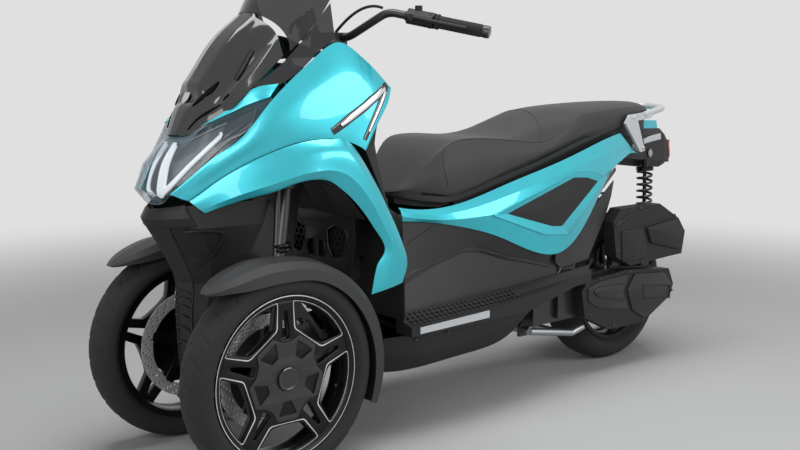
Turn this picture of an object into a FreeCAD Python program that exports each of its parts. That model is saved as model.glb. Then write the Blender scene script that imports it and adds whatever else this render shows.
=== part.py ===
import FreeCAD, Part
import math
import os
import Sketcher
from FreeCAD import Placement, Rotation, Vector

# Reverse trike: a leaning scooter with two steered front wheels and one driven rear wheel.
# X points forward, Y to the rider's left, Z up. The origin is on the floor under mid-length.

SIZES = (
    ("wheelbase", 1560, "front axle to rear axle"),
    ("track", 480, "front wheel centre to front wheel centre"),
    ("body_height", 1000, "height that the body's upward shares follow"),
    ("front_tyre_radius", 270, "front wheel over the tyre"),
    ("front_tyre_width", 110, "front tyre section"),
    ("front_seat_radius", 203, "front rim where the bead sits"),
    ("front_rim_width", 84, "front rim over its flanges"),
    ("rear_tyre_radius", 257, "rear wheel over the tyre"),
    ("rear_tyre_width", 140, "rear tyre section"),
    ("rear_seat_radius", 178, "rear rim where the bead sits"),
    ("rear_rim_width", 104, "rear rim over its flanges"),
    ("rim_flange_height", 8, "flange above the bead seat"),
    ("rim_flange_width", 5, "flange thickness"),
    ("rim_barrel_wall", 10, "barrel thickness"),
    ("spoke_outboard", 33, "wheel centre plane to the spokes' outer face"),
    ("spoke_depth", 22, "thickness of a spoke"),
    ("spoke_count", 5, "double spokes on a wheel"),
    ("window_outer_radius", 190, "big windows, outer edge"),
    ("window_inner_radius", 129, "big windows, inner corners"),
    ("window_half_angle", 28, "big windows, half their span in degrees"),
    ("rear_window_outer_radius", 162, "rear windows, outer edge"),
    ("rear_window_inner_radius", 88, "rear windows, inner corners"),
    ("hub_radius", 42, "wheel hub"),
    ("hub_half_width", 36, "wheel centre plane to the hub's ends"),
    ("axle_radius", 15, "stub axle in a hub"),
    ("running_gap", 0.3, "radial gap of a shaft in its bore"),
    ("seat_gap", 0.3, "gap between pieces that seat on each other"),
    ("move_gap", 6, "gap beside a piece that moves"),
    ("disc_radius", 150, "brake disc"),
    ("disc_ring_width", 34, "width of the rubbed ring"),
    ("disc_thickness", 4.5, "brake disc"),
    ("disc_inboard", 44, "wheel centre plane to the disc"),
    ("caster_angle", 18, "lean of the kingpins in degrees"),
    ("kingpin_inset", 84, "wheel centre plane to the kingpin"),
    ("kingpin_radius", 19, "knuckle tube round the kingpin"),
    ("kingpin_half_height", 118, "half the knuckle tube's length"),
    ("knuckle_wall", 14, "flat webs of the knuckle"),
    ("caliper_length", 96, "brake caliper along the disc"),
    ("caliper_depth", 46, "brake caliper across the disc's edge"),
    ("caliper_width", 62, "brake caliper along the axle"),
    ("fender_gap", 16, "tyre crown to fender"),
    ("fender_wall", 3, "fender thickness"),
    ("fender_half_width", 64, "fender, half its width"),
    ("fender_skirt", 46, "how far the fender's sides come down"),
    ("stay_width", 20, "strap from knuckle to fender"),
    ("arm_radius", 11, "suspension arm tubes"),
    ("damper_radius", 17, "damper outer tube"),
    ("damper_rod_radius", 9, "damper rod"),
    ("panel_wall", 3, "painted panels"),
    ("lens_wall", 3, "clear lenses"),
    ("screen_wall", 3.5, "windscreen"),
    ("tube_radius", 14, "frame tubes"),
    ("steering_angle", 26, "lean of the steering column in degrees"),
    ("bar_radius", 11, "handlebar tube"),
    ("bar_bend", 60, "bend radius of the handlebar"),
    ("column_radius", 13, "steering column"),
    ("grip_radius", 17, "rubber grips"),
    ("mirror_thread_radius", 5, "mirror hole in each lever clamp"),
    ("mirror_thread_depth", 16, "depth of a mirror hole"),
    ("lever_radius", 5, "brake levers"),
    ("cable_radius", 4, "brake hose at the handlebar"),
    ("trim_thickness", 3, "sill strips"),
    ("coil_radius", 24, "rear spring, to the wire's centre"),
    ("wire_radius", 4, "rear spring wire"),
    ("coil_pitch", 17, "rear spring, from turn to turn"),
    ("shock_rod_radius", 9, "rear damper"),
    ("cover_width", 40, "transmission cover, across the vehicle"),
    ("rail_radius", 11, "grab rail bar"),
    ("stand_tube_radius", 12, "centre stand"),
    ("tyre_room", 23, "rear tyre to engine"),
    ("honeycomb_cell", 17, "radiator guard, across a cell"),
    ("honeycomb_web", 3, "radiator guard, web between cells"),
    ("silencer_radius", 56, "silencer can"),
    ("strut_width", 12, "square bars that carry the body panels"),
    ("hinge_pin_radius", 5, "seat hinge"),
)

# Fore-and-aft shares are of the wheelbase over its own share, widths likewise of the track.
WHEELBASE_SHARE = 1.56
TRACK_SHARE = 0.48

doc = FreeCAD.newDocument("reverse_trike")
sheet = doc.addObject("Spreadsheet::Sheet", "Sizes")
for row, (alias, number, note) in enumerate(SIZES, start=1):
    sheet.set(f"A{row}", alias)
    sheet.set(f"B{row}", str(number))
    sheet.setAlias(f"B{row}", alias)
    sheet.set(f"C{row}", note)
doc.recompute()


def size(name):
    """Driving size in millimetres, degrees or as a count."""
    return float(getattr(sheet, name))


def value(text):
    """Number that an expression on the sheet gives."""
    return float(sheet.evalExpression(text))


LENGTH = size("wheelbase") / WHEELBASE_SHARE
WIDTH = size("track") / TRACK_SHARE
HEIGHT = size("body_height")
FRONT_X = size("wheelbase") / 2
REAR_X = -size("wheelbase") / 2
FRONT_Z = size("front_tyre_radius")
REAR_Z = size("rear_tyre_radius")
WHEEL_Y = size("track") / 2
WALL = size("panel_wall")
SEAT = size("seat_gap")

nodes = []


def at(x_share, y_share, z_share):
    """Place on the body from shares of its length, width and height."""
    return Vector(x_share * LENGTH, y_share * WIDTH, z_share * HEIGHT)


def places(shares):
    """Row of places from a row of shares."""
    return [at(*share) for share in shares]


def add_shape(name, shape, placement=None):
    """Sub-part whose shape comes from the functions here."""
    piece = doc.addObject("Part::Feature", name)
    piece.Label = name
    piece.Shape = shape
    piece.Placement = placement or Placement()
    nodes.append(piece)
    return piece


def new_body(name):
    """Empty body that becomes a sub-part."""
    body = doc.addObject("PartDesign::Body", name)
    body.Label = name
    nodes.append(body)
    return body


def plane_sketch(body, role, name):
    """Empty sketch on one of the body's own origin planes."""
    sketch = body.newObject("Sketcher::SketchObject", name)
    plane = next(item for item in body.Origin.OriginFeatures if item.Role == role)
    sketch.AttachmentSupport = [(plane, "")]
    sketch.MapMode = "FlatFace"
    return sketch


def outline(body, role, name, corners):
    """Closed outline of straight runs whose corners are bound to the sheet."""
    sketch = plane_sketch(body, role, name)
    numbers = [(value(across), value(up)) for across, up in corners]
    count = len(corners)
    for index in range(count):
        start = Vector(*numbers[index], 0)
        end = Vector(*numbers[(index + 1) % count], 0)
        sketch.addGeometry(Part.LineSegment(start, end))
    for index in range(count):
        sketch.addConstraint(Sketcher.Constraint("Coincident", index, 2, (index + 1) % count, 1))
    for index, (texts, pair) in enumerate(zip(corners, numbers)):
        for kind, text, number in zip(("DistanceX", "DistanceY"), texts, pair):
            made = sketch.addConstraint(Sketcher.Constraint(kind, -1, 1, index, 1, number))
            sketch.setExpression(f"Constraints[{made}]", text)
    return sketch


def revolved(body, sketch, name):
    """Solid turned about the wheel axis."""
    feature = body.newObject("PartDesign::Revolution", name)
    feature.Profile = sketch
    feature.ReferenceAxis = (sketch, ["H_Axis"])
    feature.Angle = 360
    return feature


def pocket_through(body, sketch, name, length):
    """Cut to both sides of the sketch's plane."""
    feature = body.newObject("PartDesign::Pocket", name)
    feature.Profile = sketch
    feature.SideType = "Symmetric"
    feature.setExpression("Length", length)
    return feature


def repeated(body, feature, name, count):
    """Pattern of a cut round the wheel axis."""
    pattern = body.newObject("PartDesign::PolarPattern", name)
    pattern.Originals = [feature]
    axis = next(item for item in body.Origin.OriginFeatures if item.Role == "Y_Axis")
    pattern.Axis = (axis, [""])
    pattern.Angle = 360
    pattern.setExpression("Occurrences", count)
    body.Tip = pattern
    return pattern


def stand_at(body, x_text, y_text, z_text, turned=False):
    """Bind a body's place to the sheet, and turn it about the vertical for the right-hand side."""
    if turned:
        body.Placement = Placement(Vector(), Rotation(Vector(0, 0, 1), 180))
    body.setExpression("Placement.Base.x", x_text)
    body.setExpression("Placement.Base.y", y_text)
    body.setExpression("Placement.Base.z", z_text)


def mirrored(shape):
    """The same shape on the other side of the vehicle."""
    return shape.mirror(Vector(), Vector(0, 1, 0))


def both_sides(shape):
    """A left-hand shape with its right-hand twin."""
    return Part.makeCompound([shape, mirrored(shape)])


def fused(shapes):
    """One solid from solids that overlap."""
    return shapes[0].multiFuse(shapes[1:]).removeSplitter()


def curve(points):
    """Smooth edge through places, or a straight one between two."""
    if len(points) == 2:
        return Part.makeLine(points[0], points[1])
    line = Part.BSplineCurve()
    line.interpolate(points)
    return line.toShape()


def runs(points, straight):
    """Edges of a row of places: one smooth curve, or a straight run between each pair."""
    if straight:
        return [Part.makeLine(*pair) for pair in zip(points, points[1:])]
    return [curve(points)]


def closed_curve(points):
    """Smooth closed wire through places."""
    line = Part.BSplineCurve()
    line.interpolate(Points=points, PeriodicFlag=True)
    return Part.Wire(line.toShape())


def polygon(points):
    """Closed wire of straight runs."""
    return Part.makePolygon([*points, points[0]])


def loft(wires, ruled=False):
    """Solid through closed sections."""
    return Part.makeLoft(wires, True, ruled)


def closed_shell(faces):
    """Solid from faces that meet edge to edge."""
    shell = Part.makeShell(faces)
    shell.sewShape()
    solid = Part.makeSolid(shell.Shells[0])
    if solid.Volume < 0:
        solid.reverse()
    return solid


def grid_normals(rows, towards):
    """Unit normals at a grid's places, on the side where the given place lies."""
    last_row = len(rows) - 1
    last_place = len(rows[0]) - 1
    normals = []
    for row in range(len(rows)):
        line = []
        for place in range(len(rows[0])):
            along = rows[row][min(place + 1, last_place)] - rows[row][max(place - 1, 0)]
            across = rows[min(row + 1, last_row)][place] - rows[max(row - 1, 0)][place]
            normal = along.cross(across).normalize()
            if normal.dot(towards - rows[row][place]) < 0:
                normal = normal.negative()
            line.append(normal)
        normals.append(line)
    return normals


def skin(rows, wall, towards, straight=False):
    """Thin panel with a crease along each row of places, thickened towards a given place."""
    normals = grid_normals(rows, towards)
    inner = [
        [place + normal * wall for place, normal in zip(line, normal_line)]
        for line, normal_line in zip(rows, normals)
    ]
    faces = []
    for grid in (rows, inner):
        lines = [runs(line, straight) for line in grid]
        for pair_of_lines in zip(lines, lines[1:]):
            faces += [Part.makeRuledSurface(*pair) for pair in zip(*pair_of_lines)]
    for row in (0, -1):
        edge_pairs = zip(runs(rows[row], straight), runs(inner[row], straight))
        faces += [Part.makeRuledSurface(*pair) for pair in edge_pairs]
    for place in (0, -1):
        for row in range(len(rows) - 1):
            outer_end = Part.makeLine(rows[row][place], rows[row + 1][place])
            inner_end = Part.makeLine(inner[row][place], inner[row + 1][place])
            faces.append(Part.makeRuledSurface(outer_end, inner_end))
    return closed_shell(faces)


def full_width(half_rows):
    """Rows across both sides from rows that start at the centre line, each row running outwards."""
    rows = []
    for line in half_rows:
        far = [Vector(place.x, -place.y, place.z) for place in reversed(line[1:])]
        rows.append(far + line)
    return rows


def across_centre(rows):
    """Fore-and-aft rows on both sides from rows that start on the centre line and go outwards."""
    far = [[Vector(place.x, -place.y, place.z) for place in line] for line in reversed(rows[1:])]
    return far + rows


def bent_path(points, bend):
    """Straight runs joined by tangent arcs."""
    edges = []
    start = points[0]
    for before, corner, after in zip(points, points[1:], points[2:]):
        back = (before - corner).normalize()
        ahead = (after - corner).normalize()
        half = back.getAngle(ahead) / 2
        trim = bend / math.tan(half)
        middle = (back + ahead).normalize() * (bend / math.sin(half) - bend)
        arc_start = corner + back * trim
        arc_end = corner + ahead * trim
        edges.append(Part.makeLine(start, arc_start))
        edges.append(Part.Arc(arc_start, corner + middle, arc_end).toShape())
        start = arc_end
    edges.append(Part.makeLine(start, points[-1]))
    return Part.Wire(edges)


def tube(points, radius, bend=None):
    """Round bar along straight runs with rounded corners."""
    if len(points) == 2:
        run = points[1] - points[0]
        return Part.makeCylinder(radius, run.Length, points[0], run)
    path = bent_path(points, bend)
    profile = Part.Wire(Part.makeCircle(radius, points[0], points[1] - points[0]))
    return path.makePipeShell([profile], True, False)


def block(low, high):
    """Box between two corners."""
    span = high - low
    return Part.makeBox(span.x, span.y, span.z, low)


def prism(points, direction):
    """Straight extrusion of a closed outline."""
    return Part.Face(polygon(points)).extrude(direction)


def nearest_part(shape, place):
    """The one of a shape's solids that lies nearest to a place."""
    spot = Part.Vertex(place)
    return min(shape.Solids, key=lambda solid: solid.distToShape(spot)[0])


def shape_of(name):
    """Shape of a sub-part already made."""
    return next(piece.Shape for piece in nodes if piece.Label == name).copy()


def mirrored_place(place):
    """The place on the other side of the vehicle."""
    return Vector(place.x, -place.y, place.z)


# Wheels

WINDOW_TAPER_SHARE = 0.86
SLOT_LOW_SHARE = 0.76
SLOT_HIGH_SHARE = 0.9
SLOT_WIDE_SHARE = 0.14
SLOT_NARROW_SHARE = 0.028


def rim(name, seat, width, window_outer, window_inner, turned, place):
    """Cast rim: barrel with flanges, hub, and double spokes left between windows and slots."""
    body = new_body(name)
    barrel = f"{seat} - Sizes.rim_barrel_wall"
    lip = f"{seat} + Sizes.rim_flange_height"
    edge = f"{width} / 2"
    inside = f"{width} / 2 - Sizes.rim_flange_width"
    barrel_outline = outline(body, "YZ_Plane", f"{name}_barrel_outline", (
        (f"-{edge}", barrel), (f"-{edge}", lip), (f"-({inside})", lip), (f"-({inside})", seat),
        (inside, seat), (inside, lip), (edge, lip), (edge, barrel),
    ))
    revolved(body, barrel_outline, f"{name}_barrel")
    front = "Sizes.spoke_outboard"
    back = "Sizes.spoke_outboard - Sizes.spoke_depth"
    hub_end = "Sizes.hub_half_width"
    hub_back = "(Sizes.disc_inboard - Sizes.seat_gap)"
    bore = "Sizes.axle_radius + Sizes.running_gap"
    hub_outline = outline(body, "YZ_Plane", f"{name}_hub_outline", (
        (f"-{hub_back}", bore), (f"-{hub_back}", "Sizes.hub_radius"), (back, "Sizes.hub_radius"),
        (back, f"{seat} - Sizes.rim_barrel_wall / 2"), (front, f"{seat} - Sizes.rim_barrel_wall / 2"),
        (f"{front} - Sizes.rim_flange_width", window_inner), (front, "Sizes.hub_radius"),
        (hub_end, "Sizes.hub_radius"), (hub_end, bore),
    ))
    revolved(body, hub_outline, f"{name}_hub")
    step = "360 / Sizes.spoke_count"
    middle = f"(90 - {step} / 2)"
    half = "Sizes.window_half_angle"
    arc_shares = (-1, -0.5, 0, 0.5, 1)
    spots = [(window_outer, share) for share in arc_shares]
    spots += [(window_inner, share) for share in (WINDOW_TAPER_SHARE, -WINDOW_TAPER_SHARE)]
    corners = [
        (f"{radius} * cos({middle} + {share} * {half})", f"{radius} * sin({middle} + {share} * {half})")
        for radius, share in spots
    ]
    through = f"{width} * 2"
    window_outline = outline(body, "XZ_Plane", f"{name}_window_outline", corners)
    doc.recompute()
    window = pocket_through(body, window_outline, f"{name}_window", through)
    windows = repeated(body, window, f"{name}_windows", "Sizes.spoke_count")
    low = f"{window_inner} * {SLOT_LOW_SHARE}"
    high = f"{window_outer} * {SLOT_HIGH_SHARE}"
    slot_outline = outline(body, "XZ_Plane", f"{name}_slot_outline", (
        (f"-{low} * {SLOT_WIDE_SHARE}", low), (f"{low} * {SLOT_WIDE_SHARE}", low),
        (f"{high} * {SLOT_NARROW_SHARE}", high), (f"-{high} * {SLOT_NARROW_SHARE}", high),
    ))
    doc.recompute()
    slot = pocket_through(body, slot_outline, f"{name}_slot", through)
    repeated(body, slot, f"{name}_slots", "Sizes.spoke_count")
    stand_at(body, *place, turned)
    return windows


# Half of a tyre's section: shares of half the width and of the wall above the rim's flange.
TYRE_SHARES = ((0.96, 0.22), (1.0, 0.44), (0.86, 0.74), (0.50, 0.95), (0.16, 1.0))


def tyre(name, seat, radius, width, rim_width, turned, place):
    """Tyre turned from a rounded section that sits inside the rim's flanges."""
    body = new_body(name)
    sketch = plane_sketch(body, "YZ_Plane", f"{name}_section")
    bead = seat + SEAT
    over_flange = seat + size("rim_flange_height") + SEAT
    foot = rim_width / 2 - size("rim_flange_width") - SEAT
    side = width / 2
    wall_height = radius - over_flange
    half = [(foot, bead), (foot, over_flange)]
    half += [(side * across, over_flange + wall_height * up) for across, up in TYRE_SHARES]
    corners = [Vector(-across, up, 0) for across, up in reversed(half)]
    corners += [Vector(across, up, 0) for across, up in half]
    for start, end in zip(corners, corners[1:] + corners[:1]):
        sketch.addGeometry(Part.LineSegment(start, end))
    revolved(body, sketch, f"{name}_ring")
    stand_at(body, *place, turned)


CARRIER_SHARE = 0.6
SECTOR_FOOT_SHARE = 1.25
SECTOR_OUTER_ANGLES = (-24, -8, 8, 24)
SECTOR_INNER_ANGLES = (18, -18)


def brake_disc(name, radius, inboard, turned, place):
    """Rubbed ring on a carrier that sits round the hub, with open sectors between."""
    body = new_body(name)
    ring_inner = f"{radius} - Sizes.disc_ring_width"
    near = f"-{inboard}"
    far = f"-{inboard} - Sizes.disc_thickness"
    carrier = f"Sizes.hub_radius * {CARRIER_SHARE}"
    foot = f"Sizes.hub_radius * {SECTOR_FOOT_SHARE}"
    ring = outline(body, "YZ_Plane", f"{name}_outline", (
        (near, carrier), (near, radius), (far, radius), (far, carrier),
    ))
    revolved(body, ring, f"{name}_ring")
    middle = "(180 / Sizes.spoke_count)"
    corners = [
        (f"({ring_inner}) * cos({middle} + {angle})", f"({ring_inner}) * sin({middle} + {angle})")
        for angle in SECTOR_OUTER_ANGLES
    ]
    corners += [
        (f"{foot} * cos({middle} + {angle})", f"{foot} * sin({middle} + {angle})")
        for angle in SECTOR_INNER_ANGLES
    ]
    sector = outline(body, "XZ_Plane", f"{name}_sector", corners)
    doc.recompute()
    cut = pocket_through(body, sector, f"{name}_cut", f"({inboard}) * 4")
    repeated(body, cut, f"{name}_cuts", "Sizes.spoke_count")
    stand_at(body, *place, turned)


def front_wheel(side_name, turned, sign):
    """Tyre, rim and disc of one front wheel."""
    place = ("Sizes.wheelbase / 2", f"{sign} * Sizes.track / 2", "Sizes.front_tyre_radius")
    tyre(
        f"front_tyre_{side_name}", size("front_seat_radius"), size("front_tyre_radius"),
        size("front_tyre_width"), size("front_rim_width"), turned, place,
    )
    rim(
        f"front_rim_{side_name}", "Sizes.front_seat_radius", "Sizes.front_rim_width",
        "Sizes.window_outer_radius", "Sizes.window_inner_radius", turned, place,
    )
    brake_disc(f"front_disc_{side_name}", "Sizes.disc_radius", "Sizes.disc_inboard", turned, place)


front_wheel("left", False, 1)
front_wheel("right", True, -1)
REAR_PLACE = ("-Sizes.wheelbase / 2", "0", "Sizes.rear_tyre_radius")
tyre(
    "rear_tyre", size("rear_seat_radius"), size("rear_tyre_radius"),
    size("rear_tyre_width"), size("rear_rim_width"), False, REAR_PLACE,
)
rim(
    "rear_rim", "Sizes.rear_seat_radius", "Sizes.rear_rim_width",
    "Sizes.rear_window_outer_radius", "Sizes.rear_window_inner_radius", True, REAR_PLACE,
)


# Knuckles, front fenders and suspension

AXLE = Vector(FRONT_X, WHEEL_Y, FRONT_Z)
CASTER = math.radians(size("caster_angle"))
KINGPIN_DIRECTION = Vector(-math.sin(CASTER), 0, math.cos(CASTER))
KINGPIN = AXLE - Vector(0, size("kingpin_inset"), 0)


def square_bar(start, end, width):
    """Square bar from place to place."""
    run = end - start
    aside = run.cross(Vector(0, 0, 1))
    if aside.Length < SEAT:
        aside = Vector(0, 1, 0)
    aside = aside.normalize() * (width / 2)
    up = Vector(run.x, run.y, run.z).normalize().cross(aside)
    return prism([start + aside + up, start - aside + up, start - aside - up, start + aside - up], run)


def along_kingpin(distance):
    """Place on the left kingpin's axis, measured from axle height."""
    return KINGPIN + KINGPIN_DIRECTION * distance


def round_bar(start, end, radius):
    """Cylinder from place to place."""
    return Part.makeCylinder(radius, (end - start).Length, start, end - start)


def wheel_polar(radius, angle, across):
    """Place round the left front axle; angle from straight ahead towards the top."""
    turn = math.radians(angle)
    return AXLE + Vector(radius * math.cos(turn), across, radius * math.sin(turn))


CALIPER_ANGLE = 148
CALIPER_OUTER_SHARE = 0.35
CALIPER_TOP_SHARE = 0.7
CALIPER_ROOM_SHARE = 1.4
BRACKET_SHARE = 0.3
BOSS_SHARE = 0.8
STRAP_ANGLE = 93
STRAP_HALF_SHARE = 0.4
STRAP_OVERLAP_SHARE = 0.3


def knuckle():
    """Kingpin tube with stub axle, caliper on its bracket, and the fender's strap."""
    half = size("kingpin_half_height")
    web = size("knuckle_wall")
    disc_plane = -size("disc_inboard")
    upright = round_bar(along_kingpin(-half), along_kingpin(half), size("kingpin_radius"))
    axle = round_bar(KINGPIN, AXLE + Vector(0, size("hub_half_width"), 0), size("axle_radius"))
    boss = round_bar(KINGPIN, AXLE + Vector(0, disc_plane - size("disc_thickness") - size("move_gap"), 0),
                     size("hub_radius") * BOSS_SHARE)
    half_length = size("caliper_length") / 2
    half_width = size("caliper_width") / 2
    outer = size("disc_radius") + size("caliper_depth") * CALIPER_OUTER_SHARE
    inner = outer - size("caliper_depth")
    turn = math.radians(CALIPER_ANGLE)
    radial = Vector(math.cos(turn), 0, math.sin(turn))
    tangent = Vector(-math.sin(turn), 0, math.cos(turn))
    centre_across = disc_plane - size("disc_thickness") / 2
    base = AXLE + Vector(0, centre_across, 0)
    corners = [
        base + radial * inner + tangent * half_length,
        base + radial * outer + tangent * half_length * CALIPER_TOP_SHARE,
        base + radial * outer - tangent * half_length * CALIPER_TOP_SHARE,
        base + radial * inner - tangent * half_length,
    ]
    span = Vector(0, half_width * 2, 0)
    caliper = prism([corner - span / 2 for corner in corners], span)
    slot_half = size("disc_thickness") / 2 + size("move_gap")
    slot = Part.makeCylinder(
        size("disc_radius") + size("move_gap"), slot_half * 2,
        AXLE + Vector(0, centre_across - slot_half, 0), Vector(0, 1, 0),
    )
    hub_room = Part.makeCylinder(
        size("disc_radius") * 2, half_width * 2,
        AXLE + Vector(0, centre_across + slot_half * CALIPER_ROOM_SHARE, 0), Vector(0, 1, 0),
    )
    caliper = caliper.cut(slot).cut(hub_room)
    arm_from = KINGPIN
    arm_to = base + radial * (size("disc_radius") - size("caliper_depth") * BRACKET_SHARE)
    arm_across = centre_across - half_width + web / 2
    bracket = tube(
        [Vector(place.x, AXLE.y + arm_across, place.z) for place in (arm_from, arm_to)], web,
    )
    strap_half = web * STRAP_HALF_SHARE
    strap_across = size("fender_half_width") * FENDER_SECTION[0][0] - SEAT - strap_half
    strap_radius = fender_radius(STRAP_ANGLE) - size("fender_skirt") * STRAP_OVERLAP_SHARE
    strap_top = wheel_polar(strap_radius, STRAP_ANGLE, strap_across)
    strap_foot = AXLE + Vector(0, strap_across, web)
    width = Vector(size("stay_width") / 2, 0, 0)
    thick = Vector(0, strap_half, 0)
    strap = prism(
        [strap_foot - width - thick, strap_foot + width - thick,
         strap_top + width - thick, strap_top - width - thick],
        thick * 2,
    )
    return fused([upright, axle, boss, caliper, bracket, strap])


# Fender stations: angle round the axle, spread of the gap over the tyre, share of the full width
# and share of the skirt's depth.
FENDER_STATIONS = (
    (48, 2.75, 0.22, 0.12),
    (51, 2.62, 0.50, 0.36),
    (56, 2.42, 0.76, 0.62),
    (64, 2.12, 0.92, 0.94),
    (76, 1.78, 1.00, 1.12),
    (90, 1.38, 1.00, 1.10),
    (108, 1.40, 1.00, 1.00),
    (128, 1.66, 1.00, 1.00),
    (150, 1.92, 0.98, 1.00),
    (172, 2.10, 0.96, 0.96),
    (192, 2.20, 0.93, 0.90),
    (203, 2.22, 0.88, 0.78),
)
# Fender section: shares of the half width and of the skirt's depth.
CROWN_SHARE = 0.09
FENDER_SECTION = (
    (-0.96, 0.86), (-0.93, 0.42), (-0.70, 0.06), (0, -CROWN_SHARE), (0.72, 0.06), (0.97, 0.42), (1, 1),
)


def fender_radius(angle):
    """Inner radius of the fender at an angle round the axle."""
    angles = [station[0] for station in FENDER_STATIONS]
    spreads = [station[1] for station in FENDER_STATIONS]
    for low, high, before, after in zip(angles, angles[1:], spreads, spreads[1:]):
        if low <= angle <= high:
            share = (angle - low) / (high - low)
            spread = before + (after - before) * share
    return size("front_tyre_radius") + size("fender_gap") * spread


def fender():
    """Long-nosed fender over the left front tyre, with rolled sides."""
    half = size("fender_half_width")
    skirt = size("fender_skirt")
    rows = []
    for across_share, drop_share in FENDER_SECTION:
        line = []
        for angle, _, width_share, depth_share in FENDER_STATIONS:
            radius = fender_radius(angle) + size("fender_wall") + skirt * CROWN_SHARE
            drop = skirt * drop_share * depth_share
            line.append(wheel_polar(radius - drop, angle, half * across_share * width_share))
        rows.append(line)
    return skin(rows, size("fender_wall"), AXLE)


EYE_SHARE = 1.4
ARM_SPREAD_SHARE = 0.055
DAMPER_HEAD = at(0.668, 0.125, 0.725)
DAMPER_BODY_SHARE = 0.42
DAMPER_PAIR_SHARE = 1.5
TOWER_HALF_SHARE = 0.036
CROSS_END = at(0.668, 0.145, 0.738)
tower_room = block(
    at(0.4, -TOWER_HALF_SHARE, 0) - Vector(0, SEAT, 0), at(1, TOWER_HALF_SHARE, 1) + Vector(0, SEAT, 0),
)


def suspension():
    """Upper and lower arms of the left side with their kingpin eyes, and the damper above them."""
    half = size("kingpin_half_height")
    eye_half = size("arm_radius") * EYE_SHARE
    pieces = []
    for sign in (1, -1):
        eye_centre = along_kingpin(sign * (half + SEAT + eye_half))
        eye = round_bar(
            eye_centre - KINGPIN_DIRECTION * eye_half, eye_centre + KINGPIN_DIRECTION * eye_half,
            size("kingpin_radius"),
        )
        legs = []
        for shift in (-ARM_SPREAD_SHARE, ARM_SPREAD_SHARE):
            root = Vector(eye_centre.x + shift * LENGTH, 0, eye_centre.z)
            legs.append(round_bar(root, eye_centre, size("arm_radius")))
        pieces.append(fused([eye, *legs]).cut(tower_room))
    return Part.makeCompound(pieces)


def front_damper():
    """Damper with its rod on the left upper arm, leaning back like the kingpin."""
    eye_centre = along_kingpin(size("kingpin_half_height") + SEAT + size("arm_radius") * EYE_SHARE)
    foot = eye_centre + KINGPIN_DIRECTION * size("arm_radius")
    middle = foot + (DAMPER_HEAD - foot) * DAMPER_BODY_SHARE
    lean = (DAMPER_HEAD - foot).normalize()
    rod = round_bar(foot, DAMPER_HEAD, size("damper_rod_radius"))
    body = round_bar(middle, DAMPER_HEAD, size("damper_radius"))
    second = Vector(size("damper_radius") * DAMPER_PAIR_SHARE, 0, 0)
    side_rod = round_bar(foot + lean * size("damper_radius"), DAMPER_HEAD + second, size("damper_rod_radius"))
    cross_room = round_bar(mirrored_place(CROSS_END), CROSS_END, size("tube_radius") + SEAT)
    arms_room = left_arms.translated(KINGPIN_DIRECTION * SEAT)
    return nearest_part(fused([rod, body, side_rod]).cut(cross_room).cut(arms_room), middle)


left_arms = suspension()
front_knuckle = knuckle()
add_shape("knuckle_left", front_knuckle)
add_shape("knuckle_right", mirrored(front_knuckle))
front_fender = fender()
add_shape("front_fender_left", front_fender)
add_shape("front_fender_right", mirrored(front_fender))
add_shape("suspension_arms", both_sides(left_arms))
add_shape("front_dampers", both_sides(front_damper()))


# Front body

FAIRING_TOP = (
    (0.980, 0.076, 0.728), (0.901, 0.138, 0.812), (0.830, 0.173, 0.868), (0.748, 0.194, 0.962),
    (0.655, 0.202, 1.040), (0.560, 0.207, 1.098), (0.479, 0.220, 1.053), (0.402, 0.233, 0.980),
)
FAIRING_UPPER = (
    (0.968, 0.086, 0.722), (0.890, 0.148, 0.796), (0.818, 0.188, 0.852), (0.738, 0.212, 0.922),
    (0.645, 0.225, 0.980), (0.556, 0.232, 1.015), (0.486, 0.240, 0.990), (0.425, 0.246, 0.940),
)
FAIRING_LOWER = (
    (0.957, 0.096, 0.716), (0.880, 0.152, 0.784), (0.804, 0.192, 0.836), (0.720, 0.220, 0.882),
    (0.632, 0.237, 0.912), (0.556, 0.246, 0.925), (0.500, 0.251, 0.907), (0.468, 0.254, 0.885),
)
FAIRING_CREST = (
    (0.945, 0.105, 0.712), (0.871, 0.157, 0.774), (0.790, 0.198, 0.820), (0.700, 0.226, 0.850),
    (0.620, 0.244, 0.857), (0.560, 0.252, 0.846), (0.525, 0.257, 0.832), (0.510, 0.259, 0.822),
)
WING_CREST = (
    (0.943, 0.106, 0.7095), (0.869, 0.159, 0.7705), (0.788, 0.200, 0.8165), (0.699, 0.228, 0.8465),
    (0.619, 0.246, 0.8535), (0.550, 0.256, 0.836), (0.487, 0.268, 0.741), (0.442, 0.271, 0.662),
    (0.401, 0.272, 0.581), (0.377, 0.270, 0.515), (0.393, 0.269, 0.461),
)
WING_BULGE = (
    (0.929, 0.119, 0.695), (0.857, 0.178, 0.740), (0.777, 0.224, 0.778), (0.692, 0.255, 0.803),
    (0.618, 0.273, 0.806), (0.560, 0.281, 0.785), (0.505, 0.282, 0.715), (0.463, 0.280, 0.645),
    (0.427, 0.277, 0.572), (0.420, 0.274, 0.503), (0.437, 0.272, 0.453),
)
WING_ARCH = (
    (0.914, 0.130, 0.682), (0.842, 0.177, 0.710), (0.768, 0.216, 0.730), (0.700, 0.240, 0.752),
    (0.634, 0.252, 0.753), (0.587, 0.261, 0.724), (0.540, 0.266, 0.680), (0.496, 0.268, 0.625),
    (0.455, 0.269, 0.562), (0.482, 0.269, 0.515), (0.500, 0.268, 0.443),
)
CENTRE_OF_BODY = at(0.6, 0, 0.75)

fairing = skin([places(FAIRING_TOP), places(FAIRING_UPPER), places(FAIRING_LOWER), places(FAIRING_CREST)],
               WALL, CENTRE_OF_BODY)
add_shape("front_fairing", both_sides(fairing))
wing = skin([places(WING_CREST), places(WING_BULGE), places(WING_ARCH)], WALL, CENTRE_OF_BODY)
add_shape("arch_panels", both_sides(wing))

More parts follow.
